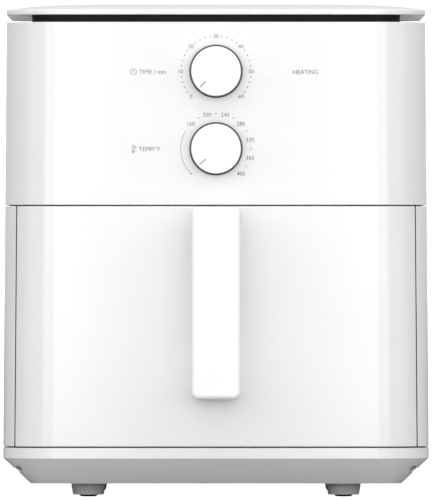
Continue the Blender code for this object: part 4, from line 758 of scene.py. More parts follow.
@dataclass
class Casing:
    """The white shells, the vent band, the base with its feet, and what is on the back."""

    form: CasingForm
    crown_steps: tuple[float, ...] = (0.0015, 0.004, 0.008, 0.014, 0.022, 0.033, 0.047, 0.066, 0.092, 0.115)
    crown_power: float = 6.0
    lid_edge: float = 0.0034
    seat: float = 0.0003
    skirt_inset: float = 0.0183
    skirt_height: float = 0.017
    slot_length: float = 0.045
    slot_pitch: float = 0.060
    slot_width: float = 0.0046
    slots: int = 5

    def build(self) -> None:
        """Models and dresses the whole casing."""
        self.lid()
        self.vent()
        self.upper()
        self.lower()
        self.base()
        Foot().build()
        Grille().build()
        Gland().build()
        self.rear_screws()

    def lid(self) -> None:
        """The crowned lid: an edge, then rings that rise in ever wider steps; its underside over the collar
        is black, as painted shade.
        """
        low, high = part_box("lid_cover")
        half_width, half_depth = high.x, (high.y - low.y) / 2
        edge = low.z + self.lid_edge
        crown = high.z - edge
        obj = self.form.slice("lid", low.z, edge, half_low=half_width, half_high=half_width)
        reached, kept_x, kept_y = edge, 1.0, 1.0
        for step in self.crown_steps:
            height = edge + crown * (1 - (1 - step / half_width) ** self.crown_power)
            left_x, left_y = 1 - step / half_width, 1 - step / half_depth
            ratio = (left_x / kept_x, left_y / kept_y, 1)
            rise = height - reached
            Bench.edit(obj, Part.FACE, at_height(reached),
                       lambda rise=rise: bpy.ops.mesh.extrude_region_move(
                           TRANSFORM_OT_translate={"value": (0, 0, rise)}),
                       lambda ratio=ratio, height=height: bpy.ops.transform.resize(
                           value=ratio, center_override=(0, self.form.middle, height)))
            reached, kept_x, kept_y = height, left_x, left_y
        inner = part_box("vent_collar")[1]
        inset = half_width - inner.x - self.seat
        recess = self.form.slice("recess", low.z - self.form.wall, inner.z + self.seat, inset,
                                 half_width, half_width)
        Bench.boolean(obj, [recess])
        Bench.finish(obj, self.form.soften, 3)
        dress(obj, Finish.SHELL, Body.HOUSING, "lid_cover")
        # the lid's downward faces inside the collar take the black vent finish: painted shade, so what shows
        # through the vent slots reads dark
        obj.data.materials.append(Finish.VENT.material())
        for face in obj.data.polygons:
            face.material_index = int(face.normal.z < -0.5 and face.center.z > low.z + self.seat)

    def vent(self) -> None:
        """The black vent band under the lid."""
        dress(Bench.refined("vent_collar", 0.0002), Finish.VENT, Body.HOUSING, "vent_collar")

    def upper(self) -> None:
        """The upper casing with its holes and deck opening."""
        form = self.form
        low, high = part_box("upper_shell")
        obj = form.slice("upper_casing", low.z, high.z)
        form.open_at(obj, low.z)
        Bench.hollow(obj, form.wall)
        deck = form.slice("deck", high.z - 2 * form.wall, high.z + form.wall, form.ledge)
        holes = [deck]
        for node in ("timer_shaft", "thermostat_shaft"):
            a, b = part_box(node)
            middle = (a + b) / 2
            holes.append(Bench.disc(node + "_hole", (b.x - a.x) / 2 + 0.0006, -4 * form.wall, 4 * form.wall,
                                    (middle.x, form.front, middle.z), 32, facing=(math.pi / 2, 0, 0)))
        a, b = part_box("lamp_window")
        room = Vector((0.0002, 0.01, 0.0002))
        holes.append(Bench.block("lamp_hole", a - room, b + room))
        a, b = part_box("exhaust_duct")
        holes.append(Bench.block("outlet_hole", (a.x, form.back - 0.01, a.z), (b.x, form.back + 0.01, b.z)))
        Bench.boolean(obj, holes)
        Bench.finish(obj, form.soften, 3)
        dress(obj, Finish.SHELL, Body.HOUSING, "upper_shell")

    def lower(self) -> None:
        """The lower casing: its sides and back, open over the drawer."""
        form = self.form
        low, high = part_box("lower_shell")
        obj = form.slice("lower_casing", low.z, high.z)
        form.open_at(obj, low.z, high.z)
        Bench.hollow(obj, form.wall)
        a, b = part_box("cord_gland")
        middle = (a + b) / 2
        neck = Bench.disc("gland_hole", 0.0096, -0.01, 0.01, (middle.x, form.back, middle.z), 48,
                          facing=(math.pi / 2, 0, 0))
        gap = form.zone("drawer_gap", low.z - form.joint, high.z + form.joint, form.joint,
                        form.front + 2 * form.corner)
        Bench.boolean(obj, [gap, neck])
        Bench.finish(obj, form.soften, 3)
        dress(obj, Finish.SHELL, Body.HOUSING, "lower_shell")

    def base(self) -> None:
        """The base: a band, the skirt that slopes in under it, and the slots in its sides."""
        form = self.form
        obj = form.slice("base", form.band_low, form.base_top)
        Bench.edit(obj, Part.FACE, at_height(form.band_low),
                   lambda: bpy.ops.mesh.inset(thickness=self.skirt_inset, depth=self.skirt_height,
                                              use_even_offset=True))
        form.open_at(obj, form.base_top)
        Bench.hollow(obj, form.wall)
        slope = math.atan2(self.skirt_height, self.skirt_inset)
        cutters = []
        for side in (-1, 1):
            for number in range(self.slots):
                offset = (number - (self.slots - 1) / 2) * self.slot_pitch
                half = Vector((self.slot_width, self.slot_length, 6 * form.wall)) / 2
                cutter = Bench.block("slot", -half, half)
                Bench.bevel_edges(cutter, is_upright, self.slot_width * 0.48, 5)
                cutter.rotation_euler = (0, -side * slope, 0)
                cutter.location = (side * (form.widest - self.skirt_inset / 2), form.middle + offset,
                                   form.band_low - self.skirt_height / 2)
                cutters.append(Bench.settle(cutter))
        Bench.boolean(obj, [Bench.join("slots", cutters)])
        Bench.finish(obj, form.soften, 3)
        dress(obj, Finish.SHELL, Body.HOUSING, "base_tray")

    @staticmethod
    def rear_screws() -> None:
        """Two cross-head screws in the back."""
        for side in ("left", "right"):
            node = "rear_screw_" + side
            low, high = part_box(node)
            middle = (low + high) / 2
            Screw.build(node + "_head", Vector((middle.x, high.y, middle.z)), (high.x - low.x) / 2, 0.0015,
                        high.y - low.y, (-math.pi / 2, 0, 0), Body.HOUSING, node)


@dataclass
class Foot:
    """Four tapered feet with their domed rubber pads."""

    taper: float = 0.0016
    recess_radius: float = 0.0067
    overlap: float = 0.002  # how far a cutter stands past what it cuts
    groove_top: float = 0.0006
    groove_bottom: float = 0.0011
    groove_depth: float = 0.0007
    soften: float = 0.0004
    pad_edge: float = 0.0022

    def build(self) -> None:
        """Models and dresses every foot and pad."""
        for name in ("front_left", "front_right", "rear_left", "rear_right"):
            place = self.cone(name)
            self.pad(name, place)

    def cone(self, name: str) -> Vector:
        """Models one foot.

        Args:
            name: Which corner it stands at.

        Returns:
            The point on the floor under its middle.
        """
        low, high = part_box("foot_" + name)
        middle = (low + high) / 2
        radius = (high.x - low.x) / 2
        place = Vector((middle.x, middle.y, 0))
        foot = Bench.disc("foot_body_" + name, radius - self.taper, low.z, high.z, place, 64, radius)
        recess = Bench.disc("recess", self.recess_radius, low.z - self.overlap, low.z + self.overlap,
                            place, 48)
        groove = Bench.disc("groove", radius + self.overlap, high.z - self.groove_bottom,
                            high.z - self.groove_top, place, 64)
        core = Bench.disc("core", radius - self.groove_depth, high.z - self.overlap, high.z, place, 64)
        Bench.boolean(groove, [core])
        Bench.boolean(foot, [recess, groove])
        Bench.finish(foot, self.soften, 3)
        dress(foot, Finish.FOOT, Body.HOUSING, "foot_" + name)
        return place

    def pad(self, name: str, place: Vector) -> None:
        """The domed rubber pad of one foot."""
        low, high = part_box("pad_" + name)
        pad = Bench.disc("pad_body_" + name, (high.x - low.x) / 2, low.z, high.z, place, 48)
        Bench.bevel_edges(pad, lambda e: all(abs(v.co.z - low.z) < FLAT for v in e.verts), self.pad_edge, 6)
        Bench.finish(pad)
        dress(pad, Finish.RUBBER, Body.HOUSING, "pad_" + name)


@dataclass
class Grille:
    """The rear outlet: a round-cornered frame with rounded slats between its slots."""

    corner: float = 0.006
    wall: float = 0.0026
    rim: float = 0.007
    slots: int = 6
    slot_height: float = 0.0042
    slot_round: float = 0.45  # the slots' end radius, as a share of their height
    slot_behind: float = 0.008
    slot_before: float = 0.004
    soften: float = 0.0005

    def build(self) -> None:
        """Models and dresses the grille."""
        low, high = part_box("outlet_grille")
        middle = (low + high) / 2
        obj = Bench.block("rear_grille", low, high)
        Bench.bevel_edges(obj, self.along_depth, self.corner, 8)
        inside = Bench.block("inside", (low.x + self.wall, low.y - self.wall, low.z + self.wall),
                             (high.x - self.wall, high.y - self.wall, high.z - self.wall))
        pitch = (high.z - low.z - 2 * self.rim) / self.slots
        cutters = []
        for number in range(self.slots):
            height = middle.z + (number - (self.slots - 1) / 2) * pitch
            cutter = Bench.block("slot", (low.x + self.rim, high.y - self.slot_behind,
                                          height - self.slot_height / 2),
                                 (high.x - self.rim, high.y + self.slot_before,
                                  height + self.slot_height / 2))
            Bench.bevel_edges(cutter, self.along_depth, self.slot_height * self.slot_round, 5)
            cutters.append(cutter)
        Bench.boolean(obj, [inside, Bench.join("slots", cutters)])
        Bench.finish(obj, self.soften, 3)
        dress(obj, Finish.SHELL, Body.HOUSING, "outlet_grille")

    @staticmethod
    def along_depth(edge: bpy.types.MeshEdge) -> bool:
        """Whether an edge runs from front to back."""
        return abs((edge.verts[0].co - edge.verts[1].co).y) > 0.004


@dataclass
class Gland:
    """The lead's bushing: a flanged collar with a lipped mouth and two finger flats."""

    proud: float = 0.0037
    lean: float = 0.94  # the flange's outer radius, as a share of its inner one
    neck_radius: float = 0.0094
    bore_radius: float = 0.0042
    bore_length: float = 0.02
    mouth_radius: float = 0.0062
    mouth_depth: float = 0.0014
    flat_out: float = 1.25  # the flats' middles, in flange radii
    flat_half: float = 0.004
    flat_depth: float = 0.0016
    overlap: float = 0.002
    soften: float = 0.0004

    def build(self) -> None:
        """Models and dresses the bushing."""
        low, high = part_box("cord_gland")
        middle = (low + high) / 2
        facing = (-math.pi / 2, 0, 0)
        place = Vector((middle.x, high.y, middle.z))
        radius = (high.x - low.x) / 2
        flange = Bench.disc("bushing", radius, -self.proud, 0, place, 64, radius * self.lean, facing)
        neck = Bench.disc("neck", self.neck_radius, low.y - high.y, -self.proud / 2, place, 48,
                          facing=facing)
        bore = Bench.disc("bore", self.bore_radius, -self.bore_length, self.overlap, place, 32,
                          facing=facing)
        mouth = Bench.disc("mouth", self.bore_radius, -self.mouth_depth, self.soften, place, 48,
                           self.mouth_radius, facing)
        Bench.boolean(flange, [neck], "UNION")
        flats = []
        for side in (-1, 1):
            across = middle.x + side * radius * self.flat_out
            flats.append(Bench.block("flat",
                                     (across - self.flat_half, high.y - self.flat_depth,
                                      middle.z - self.bore_length),
                                     (across + self.flat_half, high.y + self.overlap,
                                      middle.z + self.bore_length)))
        Bench.boolean(flange, [bore, mouth, *flats])
        Bench.finish(flange, self.soften, 3)
        dress(flange, Finish.VENT, Body.HOUSING, "cord_gland")


class Screw:
    """Cross-head screws."""

    @staticmethod
    def build(name: str, tip: Vector, radius: float, head: float, length: float,
              facing: tuple[float, float, float], body: Body, node: str) -> None:
        """A domed head with a cross recess, on its shank.

        Args:
            name: The piece's name.
            tip: The middle of the head's outer face.
            radius: The head's radius.
            head: The head's height.
            length: The whole length.
            facing: The turn that takes +Z to the way the head faces.
            body: The group that it moves with.
            node: The frame node that it stands for.
        """
        place = tip
        obj = Bench.disc(name, radius, -head, 0, place, 48, radius * 0.82, facing)
        shank = Bench.disc("shank", radius / 2.1, -length, -head / 2, place, 24, facing=facing)
        Bench.boolean(obj, [shank], "UNION")
        arm = radius * 0.55
        wide = radius * 0.12
        for spin in (0, math.pi / 2):
            bar = Bench.block("bar", (-arm, -wide, -head * 0.7), (arm, wide, head))
            bar.rotation_euler = (0, 0, spin)
            Bench.settle(bar)
            bar.rotation_euler = facing
            bar.location = place
            Bench.boolean(obj, [Bench.settle(bar)])
        Bench.finish(obj, radius * 0.06, 2)
        dress(obj, Finish.SCREW, body, node)


# ==================================================================== controls
@dataclass
class Dial:
    """A dial: its cap, its dark skirt ring and the scale printed round it."""

    name: str
    body: Body
    numbers: tuple[str, ...]
    first_angle: float  # degrees clockwise from straight up
    number_step: float
    dots_between: int
    arc: bool = False
    scale_radius: float = 0.0235
    digit_height: float = 0.0027
    dot_radius: float = 0.00042
    pointer: tuple[float, float] = (0.0097, 0.0152)
    pointer_width: float = 0.0012
    pointer_angle: float = 225.0

    def build(self) -> None:
        """Models and dresses the dial."""
        self.cap()
        self.ring()
        self.scale()

    def centre(self) -> Vector:
        """The middle of the cap's face."""
        low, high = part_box(self.name)
        return Vector(((low.x + high.x) / 2, low.y, (low.z + high.z) / 2))

    def around(self, radius: float, angle: float, face: float) -> Vector:
        """A point round the dial, at an angle in degrees clockwise from straight up."""
        middle = self.centre()
        turn = math.radians(angle)
        return Vector((middle.x + radius * math.sin(turn), face, middle.z + radius * math.cos(turn)))

    def cap(self) -> None:
        """The cap: a slightly tapered drum with a rounded edge, and a pointer groove lined with grey painted
        shade.
        """
        low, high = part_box(self.name)
        radius, deep = (high.x - low.x) / 2, high.y - low.y
        facing = (math.pi / 2, 0, 0)
        face = self.centre()
        cap = Bench.disc(self.name + "_cap", radius, -deep, 0, face, 128, radius - 0.0002, facing)
        Bench.bevel_edges(cap, lambda e: all(abs(v.co.y - low.y) < FLAT for v in e.verts), 0.0005, 5)
        inner, outer_end = self.pointer
        half = self.pointer_width / 2
        groove = Bench.block("groove", (-half, inner, -0.0009), (half, outer_end, 0.002))
        Bench.bevel_edges(groove, is_upright, half * 0.95, 5)
        groove.rotation_euler = (0, 0, -math.radians(self.pointer_angle))
        Bench.settle(groove)
        groove.rotation_euler = facing
        groove.location = face
        Bench.settle(groove)
        socket = Bench.disc("socket", 0.0033, -deep - 0.001, -deep + 0.008, face, 32, facing=facing)
        Bench.boolean(cap, [groove, socket])
        Bench.finish(cap, 0.00012, 2)
        dress(cap, Finish.KNOB, self.body, self.name)
        # the grey lining of the pointer groove is painted shade: it darkens the groove the way its own
        # shadow would
        groove_shade = Bench.block("groove_shade", (-half * 0.9, inner + half * 0.2, 0),
                            (half * 0.9, outer_end - half * 0.2, 0.0003))
        Bench.bevel_edges(groove_shade, is_upright, half * 0.8, 5)
        groove_shade.name = self.name + "_pointer_painted_shade"
        groove_shade.location = (0, 0, -0.0008)
        groove_shade.rotation_euler = (0, 0, -math.radians(self.pointer_angle))
        Bench.settle(groove_shade)
        groove_shade.rotation_euler = facing
        groove_shade.location = face
        dress(Bench.settle(groove_shade), Finish.MARK, self.body)

    def ring(self) -> None:
        """The dark skirt ring behind the cap."""
        node = self.name + "_ring"
        low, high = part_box(node)
        radius, deep = (high.x - low.x) / 2, high.y - low.y
        facing = (math.pi / 2, 0, 0)
        place = Vector((self.centre().x, low.y, self.centre().z))
        ring = Bench.disc(node + "_skirt", radius, -deep, 0, place, 128, facing=facing)
        Bench.bevel_edges(ring, lambda e: all(abs(v.co.y - low.y) < FLAT for v in e.verts), 0.0007, 4)
        bore = Bench.disc("bore", 0.0033, -deep - 0.001, 0.001, place, 32, facing=facing)
        Bench.boolean(ring, [bore])
        Bench.finish(ring, 0.0001, 2)
        dress(ring, Finish.RING, self.body, node)

    def scale(self) -> None:
        """The printed scale: numbers, dots between them and, on the temperature dial, the off arc."""
        print_face = Print.face()
        pieces = []
        for number, text in enumerate(self.numbers):
            angle = self.first_angle + number * self.number_step
            pieces.append(Print.text(text, self.digit_height,
                                     self.around(self.scale_radius, angle, print_face)))
            if number + 1 < len(self.numbers):
                for dot in range(1, self.dots_between + 1):
                    between = angle + self.number_step * dot / (self.dots_between + 1)
                    pieces.append(Print.dot(self.dot_radius,
                                            self.around(self.scale_radius, between, print_face)))
        if self.arc:
            pieces.append(Print.arc(self.centre(), self.scale_radius, 225.0, 300.0, 0.00026))
            pieces.append(Print.dot(self.dot_radius * 1.25,
                                    self.around(self.scale_radius, 225.0, print_face)))
        dress(Bench.join(self.name + "_scale", pieces), Finish.PRINT, Body.HOUSING)


class Print:
    """Ink printed on the front panel, as thin films just proud of it."""

    film = 0.00004

    @classmethod
    def face(cls) -> float:
        """Where the film's back lies along Y."""
        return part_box("base_tray")[0].y - 0.00002

    @classmethod
    def settle(cls, obj: bpy.types.Object, place: Vector) -> bpy.types.Object:
        """Stands a flat film up against the front panel."""
        Bench.settle(obj)
        obj.rotation_euler = (math.pi / 2, 0, 0)
        obj.location = place
        return Bench.settle(obj)

    @classmethod
    def text(cls, words: str, height: float, place: Vector, align: str = "CENTER") -> bpy.types.Object:
        """Lettering with its middle, or its left end, at a place.

        Args:
            words: What it says.
            height: The capitals' height.
            place: Where it stands.
            align: CENTER or LEFT.

        Returns:
            The film.
        """
        Bench.clear()
        bpy.ops.object.text_add()
        obj = bpy.context.object
        obj.data.body = words
        obj.data.align_x = align
        obj.data.align_y = "CENTER"
        obj.data.size = height / 0.72
        obj.data.resolution_u = 3
        obj.data.extrude = cls.film / 2
        Bench.take(obj)
        bpy.ops.object.convert(target="MESH")
        bpy.ops.object.origin_set(type="ORIGIN_GEOMETRY", center="BOUNDS")
        obj = bpy.context.object
        obj.location = (0, 0, 0)
        along = obj.dimensions.x / 2 if align == "LEFT" else 0.0
        return cls.settle(obj, place + Vector((along, -cls.film / 2, 0)))

    @classmethod
    def dot(cls, radius: float, place: Vector) -> bpy.types.Object:
        """A round dot with a soft shoulder."""
        obj = Bench.disc("dot", radius, 0, cls.film, Vector((0, 0, 0)), 20, radius * 0.9)
        return cls.settle(obj, place)

    @classmethod
    def arc(cls, centre: Vector, radius: float, start: float, end: float, width: float) -> bpy.types.Object:
        """A thin arc round a centre, between two angles in degrees clockwise from straight up."""
        half = width / 2
        strip = Bench.block("arc", (-half, radius - half, 0), (half, radius + half, cls.film))
        Bench.edit(strip, Part.FACE, lambda f: f.normal.x > 0.9,
                   lambda: bpy.ops.mesh.spin(steps=40, angle=math.radians(end - start), center=(0, 0, 0),
                                             axis=(0, 0, 1)))
        strip.rotation_euler = (0, 0, -math.radians(start))
        return cls.settle(strip, Vector((centre.x, cls.face(), centre.z)))

    @classmethod
    def stroke(cls, start: tuple[float, float], end: tuple[float, float], width: float,
               place: Vector) -> bpy.types.Object:
        """A straight stroke with round ends, given in the panel's own plane about a place."""
        a, b = Vector(start), Vector(end)
        half = width / 2
        length = (b - a).length
        obj = Bench.block("stroke", (-half, -half, 0), (length + half, half, cls.film))
        Bench.bevel_edges(obj, is_upright, half * 0.95, 3)
        obj.rotation_euler = (0, 0, math.atan2(b.y - a.y, b.x - a.x))
        obj.location = (a.x, a.y, 0)
        return cls.settle(obj, place)


@dataclass
class Panel:
    """The control panel: both dials, the lamp and the printed labels."""

    label_height: float = 0.0029
    ink_width: float = 0.00032
    time_row: float = 0.2839
    temp_row: float = 0.2325
    lamp_row: float = 0.28375
    clock_radius: float = 0.0020
    bulb_radius: float = 0.0009
    bulb_drop: float = 0.0017
    stem_half: float = 0.00048
    stem_top: float = 0.0021
    stem_bottom: float = 0.0010
    marks: tuple[float, ...] = (0.0004, 0.0011, 0.0018)
    mark_span: tuple[float, float] = (0.0011, 0.0017)

    def build(self) -> None:
        """Models and dresses the panel."""
        Dial("time_knob", Body.TIME_DIAL, ("0", "10", "20", "30", "40", "50", "60"), -135.0, 45.0,
             4).build()
        Dial("temp_knob", Body.TEMP_DIAL, ("160", "200", "240", "280", "320", "360", "400"), -45.0, 30.0, 1,
             arc=True).build()
        self.labels()
        self.lamp()

    def labels(self) -> None:
        """The clock and thermometer signs with their words, and the lamp's word."""
        face = Print.face()
        height = self.label_height
        words = [
            Print.text("TIME / min", height, Vector((-0.0511, face, self.time_row)), "LEFT"),
            Print.text("TEMP/\N{DEGREE SIGN}F", height, Vector((-0.0515, face, self.temp_row)), "LEFT"),
            Print.text("HEATING", height, Vector((0.0515, face, self.lamp_row)), "LEFT"),
        ]
        dress(Bench.join("panel_words", words), Finish.PRINT, Body.HOUSING)
        dress(Bench.join("clock_sign", self.clock(Vector((-0.0550, face, self.time_row)))), Finish.PRINT,
              Body.HOUSING)
        dress(Bench.join("thermometer_sign", self.thermometer(Vector((-0.0551, face, self.temp_row)))),
              Finish.PRINT,
              Body.HOUSING)

    def ring_sign(self, radius: float, place: Vector,
                  sweep: tuple[float, float] = (0.0, 360.0)) -> bpy.types.Object:
        """A printed ring, or part of one between two angles clockwise from straight up."""
        if sweep[1] - sweep[0] < 360:
            return Print.arc(place, radius, sweep[0], sweep[1], self.ink_width)
        flat = Vector((0, 0, 0))
        ring = Bench.disc("ring", radius + self.ink_width / 2, 0, Print.film, flat, 48)
        bore = Bench.disc("bore", radius - self.ink_width / 2, -Print.film, 2 * Print.film, flat, 48)
        Bench.boolean(ring, [bore])
        return Print.settle(ring, Vector((place.x, Print.face(), place.z)))

    def clock(self, place: Vector) -> list[bpy.types.Object]:
        """A clock face: a ring and two hands."""
        wide = self.ink_width
        return [self.ring_sign(self.clock_radius, place), Print.stroke((0, 0), (0, 0.0013), wide, place),
                Print.stroke((0, 0), (0.0010, -0.0004), wide, place)]

    def thermometer(self, place: Vector) -> list[bpy.types.Object]:
        """A thermometer: a bulb, a stem and three marks beside it."""
        wide, half, near = self.ink_width, self.stem_half, self.mark_span[0]
        bulb = Vector((place.x, place.y, place.z - self.bulb_drop))
        cap = Vector((place.x, place.y, place.z + self.stem_top))
        pieces = [self.ring_sign(self.bulb_radius, bulb, (35.0, 325.0)),
                  Print.stroke((-half, -self.stem_bottom), (-half, self.stem_top), wide, place),
                  Print.stroke((half, -self.stem_bottom), (half, self.stem_top), wide, place),
                  self.ring_sign(half, cap, (-90.0, 90.0)), Print.dot(0.00042, bulb)]
        for mark in self.marks:
            pieces.append(Print.stroke((near, mark), (self.mark_span[1], mark), wide, place))
        return pieces

    @staticmethod
    def lamp() -> None:
        """The lamp's square window, with rounded corners and a soft edge."""
        low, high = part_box("lamp_window")
        lens = Bench.block("lamp_lens_window", low, high)
        Bench.bevel_edges(lens, lambda e: abs((e.verts[0].co - e.verts[1].co).y) > 0.001, 0.0005, 4)
        Bench.finish(lens, 0.00012, 3)
        dress(lens, Finish.LENS, Body.HOUSING, "lamp_window")
        dress(Bench.refined("indicator_lamp", 0.0006, 3), Finish.LAMP, Body.HOUSING, "indicator_lamp")


# ==================================================================== drawer
@dataclass
class Drawer:
    """The drawer: its white front, bar handle, liner, seal and non-stick pan."""

    form: CasingForm
    handle_corner: float = 0.0047
    handle_edge: float = 0.0026
    gap_corner: float = 0.0094
    screw_head: float = 0.0026
    arm: float = 0.017
    bar: float = 0.016
    pan_corner: float = 0.028
    pan_wall: float = 0.0014
    pan_lean: float = 0.005
    rim: float = 0.003

    def build(self) -> None:
        """Models and dresses the drawer."""
        self.front()
        self.handle()
        self.grip()
        self.pan()
        dress(Bench.refined("drawer_liner", 0.0), Finish.INNER, Body.DRAWER, "drawer_liner")
        dress(Bench.refined("drawer_seal", 0.0006, 3), Finish.SILICONE, Body.DRAWER, "drawer_seal")
        for end in ("upper", "lower"):
            node = "handle_screw_" + end
            low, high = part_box(node)
            middle = (low + high) / 2
            Screw.build(node + "_head", Vector((middle.x, high.y, middle.z)), (high.x - low.x) / 2,
                        self.screw_head,
                        high.y - low.y, (-math.pi / 2, 0, 0), Body.DRAWER, node)

    def front(self) -> None:
        """The drawer's front: its corners follow the casing, and it is open behind."""
        form = self.form
        low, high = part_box("drawer_front")
        obj = form.slice("drawer_face", low.z, high.z)
        Bench.boolean(obj, [form.zone("zone", low.z - form.joint, high.z + form.joint, form.trim, high.y)],
                      "INTERSECT")
        inside = form.slice("inside", low.z + form.wall, high.z - form.wall, form.wall)
        Bench.boolean(inside, [form.zone("inner_zone", low.z, high.z, -form.wall, high.y + 0.02)],
                      "INTERSECT")
        Bench.boolean(obj, [inside])
        Bench.finish(obj, form.soften, 3)
        dress(obj, Finish.SHELL, Body.DRAWER, "drawer_front")

    def handle(self) -> None:
        """The bar handle: round-cornered, with the finger gap cut through and every edge rounded."""
        low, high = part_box("handle")
        obj = Bench.block("bar_handle", low, high)
        Bench.bevel_edges(obj, lambda e: abs((e.verts[0].co - e.verts[1].co).y) > 0.02, self.handle_corner,
                          10)
        Bench.bevel_edges(obj, lambda e: all(abs(v.co.y - low.y) < FLAT for v in e.verts),
                          self.handle_edge, 6)
        gap = Bench.block("gap", (low.x - 0.01, low.y + self.bar, low.z + self.arm),
                          (high.x + 0.01, high.y + 0.02, high.z - self.arm))
        Bench.bevel_edges(gap, lambda e: abs((e.verts[0].co - e.verts[1].co).x) > 0.02, self.gap_corner, 10)
        Bench.boolean(obj, [gap])
        Bench.finish(obj, 0.0011, 4, math.radians(40))
        dress(obj, Finish.HANDLE, Body.DRAWER, "handle")

    @staticmethod
    def grip() -> None:
        """The soft strip behind the handle's bar, with cross ribs for the fingers."""
        low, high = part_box("handle_grip")
        obj = Bench.block("finger_grip", low, high)
        Bench.bevel_edges(obj, lambda e: abs((e.verts[0].co - e.verts[1].co).y) > 0.001, 0.004, 6)
        count = 11
        pitch = (high.z - low.z - 0.012) / (count - 1)
        grooves = []
        for number in range(count):
            height = low.z + 0.006 + number * pitch
            groove = Bench.block("groove", (low.x + 0.003, high.y - 0.0007, height - 0.0011),
                                 (high.x - 0.003, high.y + 0.001, height + 0.0011))
            grooves.append(groove)
        Bench.boolean(obj, [Bench.join("grooves", grooves)])
        Bench.finish(obj, 0.0003, 2)
        dress(obj, Finish.GRIP, Body.DRAWER, "handle_grip")

    def pan(self) -> None:
        """The pan: leaning walls, a rounded floor edge, drainage channels and a rolled rim."""
        low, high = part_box("drawer_pan")
        middle = (low.y + high.y) / 2
        top = high.z - self.pan_wall
        half_x, half_y = high.x - self.rim, (high.y - low.y) / 2 - self.rim
        floor = half_x - self.pan_lean
        obj = Bench.block("pan", (-floor, middle - half_y, low.z), (floor, middle + half_y, top))
        Bench.edit(obj, Part.FACE, at_height(top),
                   lambda: bpy.ops.transform.resize(value=(half_x / floor, 1, 1),
                                                    center_override=(0, middle, top)))
        Bench.bevel_edges(obj, is_upright, self.pan_corner, 14)
        Bench.bevel_edges(obj, lambda e: all(abs(v.co.z - low.z) < FLAT for v in e.verts), 0.0045, 6)
        CasingForm.open_at(obj, top)
        grow = ((half_x + self.rim * 0.55) / half_x, (half_y + self.rim * 0.55) / half_y, 1)
        more = ((half_x + self.rim) / (half_x + self.rim * 0.55),
                (half_y + self.rim) / (half_y + self.rim * 0.55), 1)
        Bench.edit(obj, Part.EDGE, lambda e: e.is_boundary,
                   lambda: bpy.ops.mesh.extrude_region_move(TRANSFORM_OT_translate={"value": (0, 0, 0)}),
                   lambda: bpy.ops.transform.resize(value=grow, center_override=(0, middle, top)),
                   lambda: bpy.ops.mesh.extrude_region_move(TRANSFORM_OT_translate={"value": (0, 0,
                                                                                              -0.0006)}),
                   lambda: bpy.ops.transform.resize(value=more, center_override=(0, middle, top)),
                   lambda: bpy.ops.mesh.extrude_region_move(TRANSFORM_OT_translate={"value": (0, 0,
                                                                                              -0.0022)}))
        Bench.hollow(obj, self.pan_wall)
        ribs = []
        for number in range(7):
            place = (number - 3) * 0.024
            rib = Bench.block("rib", (place - 0.0016, middle - half_y * 0.72, low.z + self.pan_wall * 0.6),
                              (place + 0.0016, middle + half_y * 0.72, low.z + self.pan_wall + 0.0012))
            Bench.bevel_edges(rib, is_upright, 0.0015, 4)
            ribs.append(rib)
        Bench.boolean(obj, [Bench.join("ribs", ribs)], "UNION")
        Bench.finish(obj, 0.0004, 2)
        dress(obj, Finish.NONSTICK, Body.DRAWER, "drawer_pan")


@dataclass
class Crisper:
    """The lift-out plate, with its rows of holes and silicone feet."""

    corner: float = 0.0245
    hole_radius: float = 0.0030
    pitch: float = 0.0150
    plain_edge: float = 0.024  # width left without holes, both sides together
    foot_clear: float = 0.0115
    corner_clear: float = 0.009
    side_clear: float = 0.008
    foot_hole: float = 0.0037
    overlap: float = 0.002

    def build(self) -> None:
        """Models and dresses the plate and its feet."""
        low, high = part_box("crisper_plate")
        middle = (low + high) / 2
        obj = Bench.block("plate", low, high)
        Bench.bevel_edges(obj, is_upright, self.corner, 12)
        feet = [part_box(f"plate_foot_{number}") for number in range(1, 5)]
        places = [((a + b) / 2).xy for a, b in feet]
        holes = []
        count_x = int((high.x - low.x - self.plain_edge) / self.pitch)
        count_y = int((high.y - low.y - self.plain_edge) / self.pitch)
        for i in range(count_x + 1):
            for j in range(count_y + 1):
                shift = self.pitch / 4 * (1 if j % 2 else -1)
                place = Vector((middle.x + (i - count_x / 2) * self.pitch + shift,
                                middle.y + (j - count_y / 2) * self.pitch))
                corner = Vector((max(0.0, abs(place.x - middle.x) - (high.x - middle.x - self.corner)),
                                 max(0.0, abs(place.y - middle.y) - (high.y - middle.y - self.corner))))
                clear = all((place - foot).length > self.foot_clear for foot in places)
                inside = corner.length < self.corner - self.corner_clear
                if clear and inside and abs(place.x - middle.x) < high.x - middle.x - self.side_clear:
                    holes.append(Bench.disc("hole", self.hole_radius, low.z - self.overlap,
                                            high.z + self.overlap,
                                            Vector((place.x, place.y, 0)), 16))
        for foot in places:
            holes.append(Bench.disc("foot_hole", self.foot_hole, low.z - self.overlap,
                                    high.z + self.overlap,
                                    Vector((foot.x, foot.y, 0)), 24))
        Bench.boolean(obj, [Bench.join("holes", holes)])
        Bench.finish(obj, 0.00035, 2)
        dress(obj, Finish.NONSTICK, Body.CRISPER, "crisper_plate")
        for number in range(1, 5):
            node = f"plate_foot_{number}"
            dress(Bench.refined(node, 0.0006, 3), Finish.SILICONE, Body.CRISPER, node)


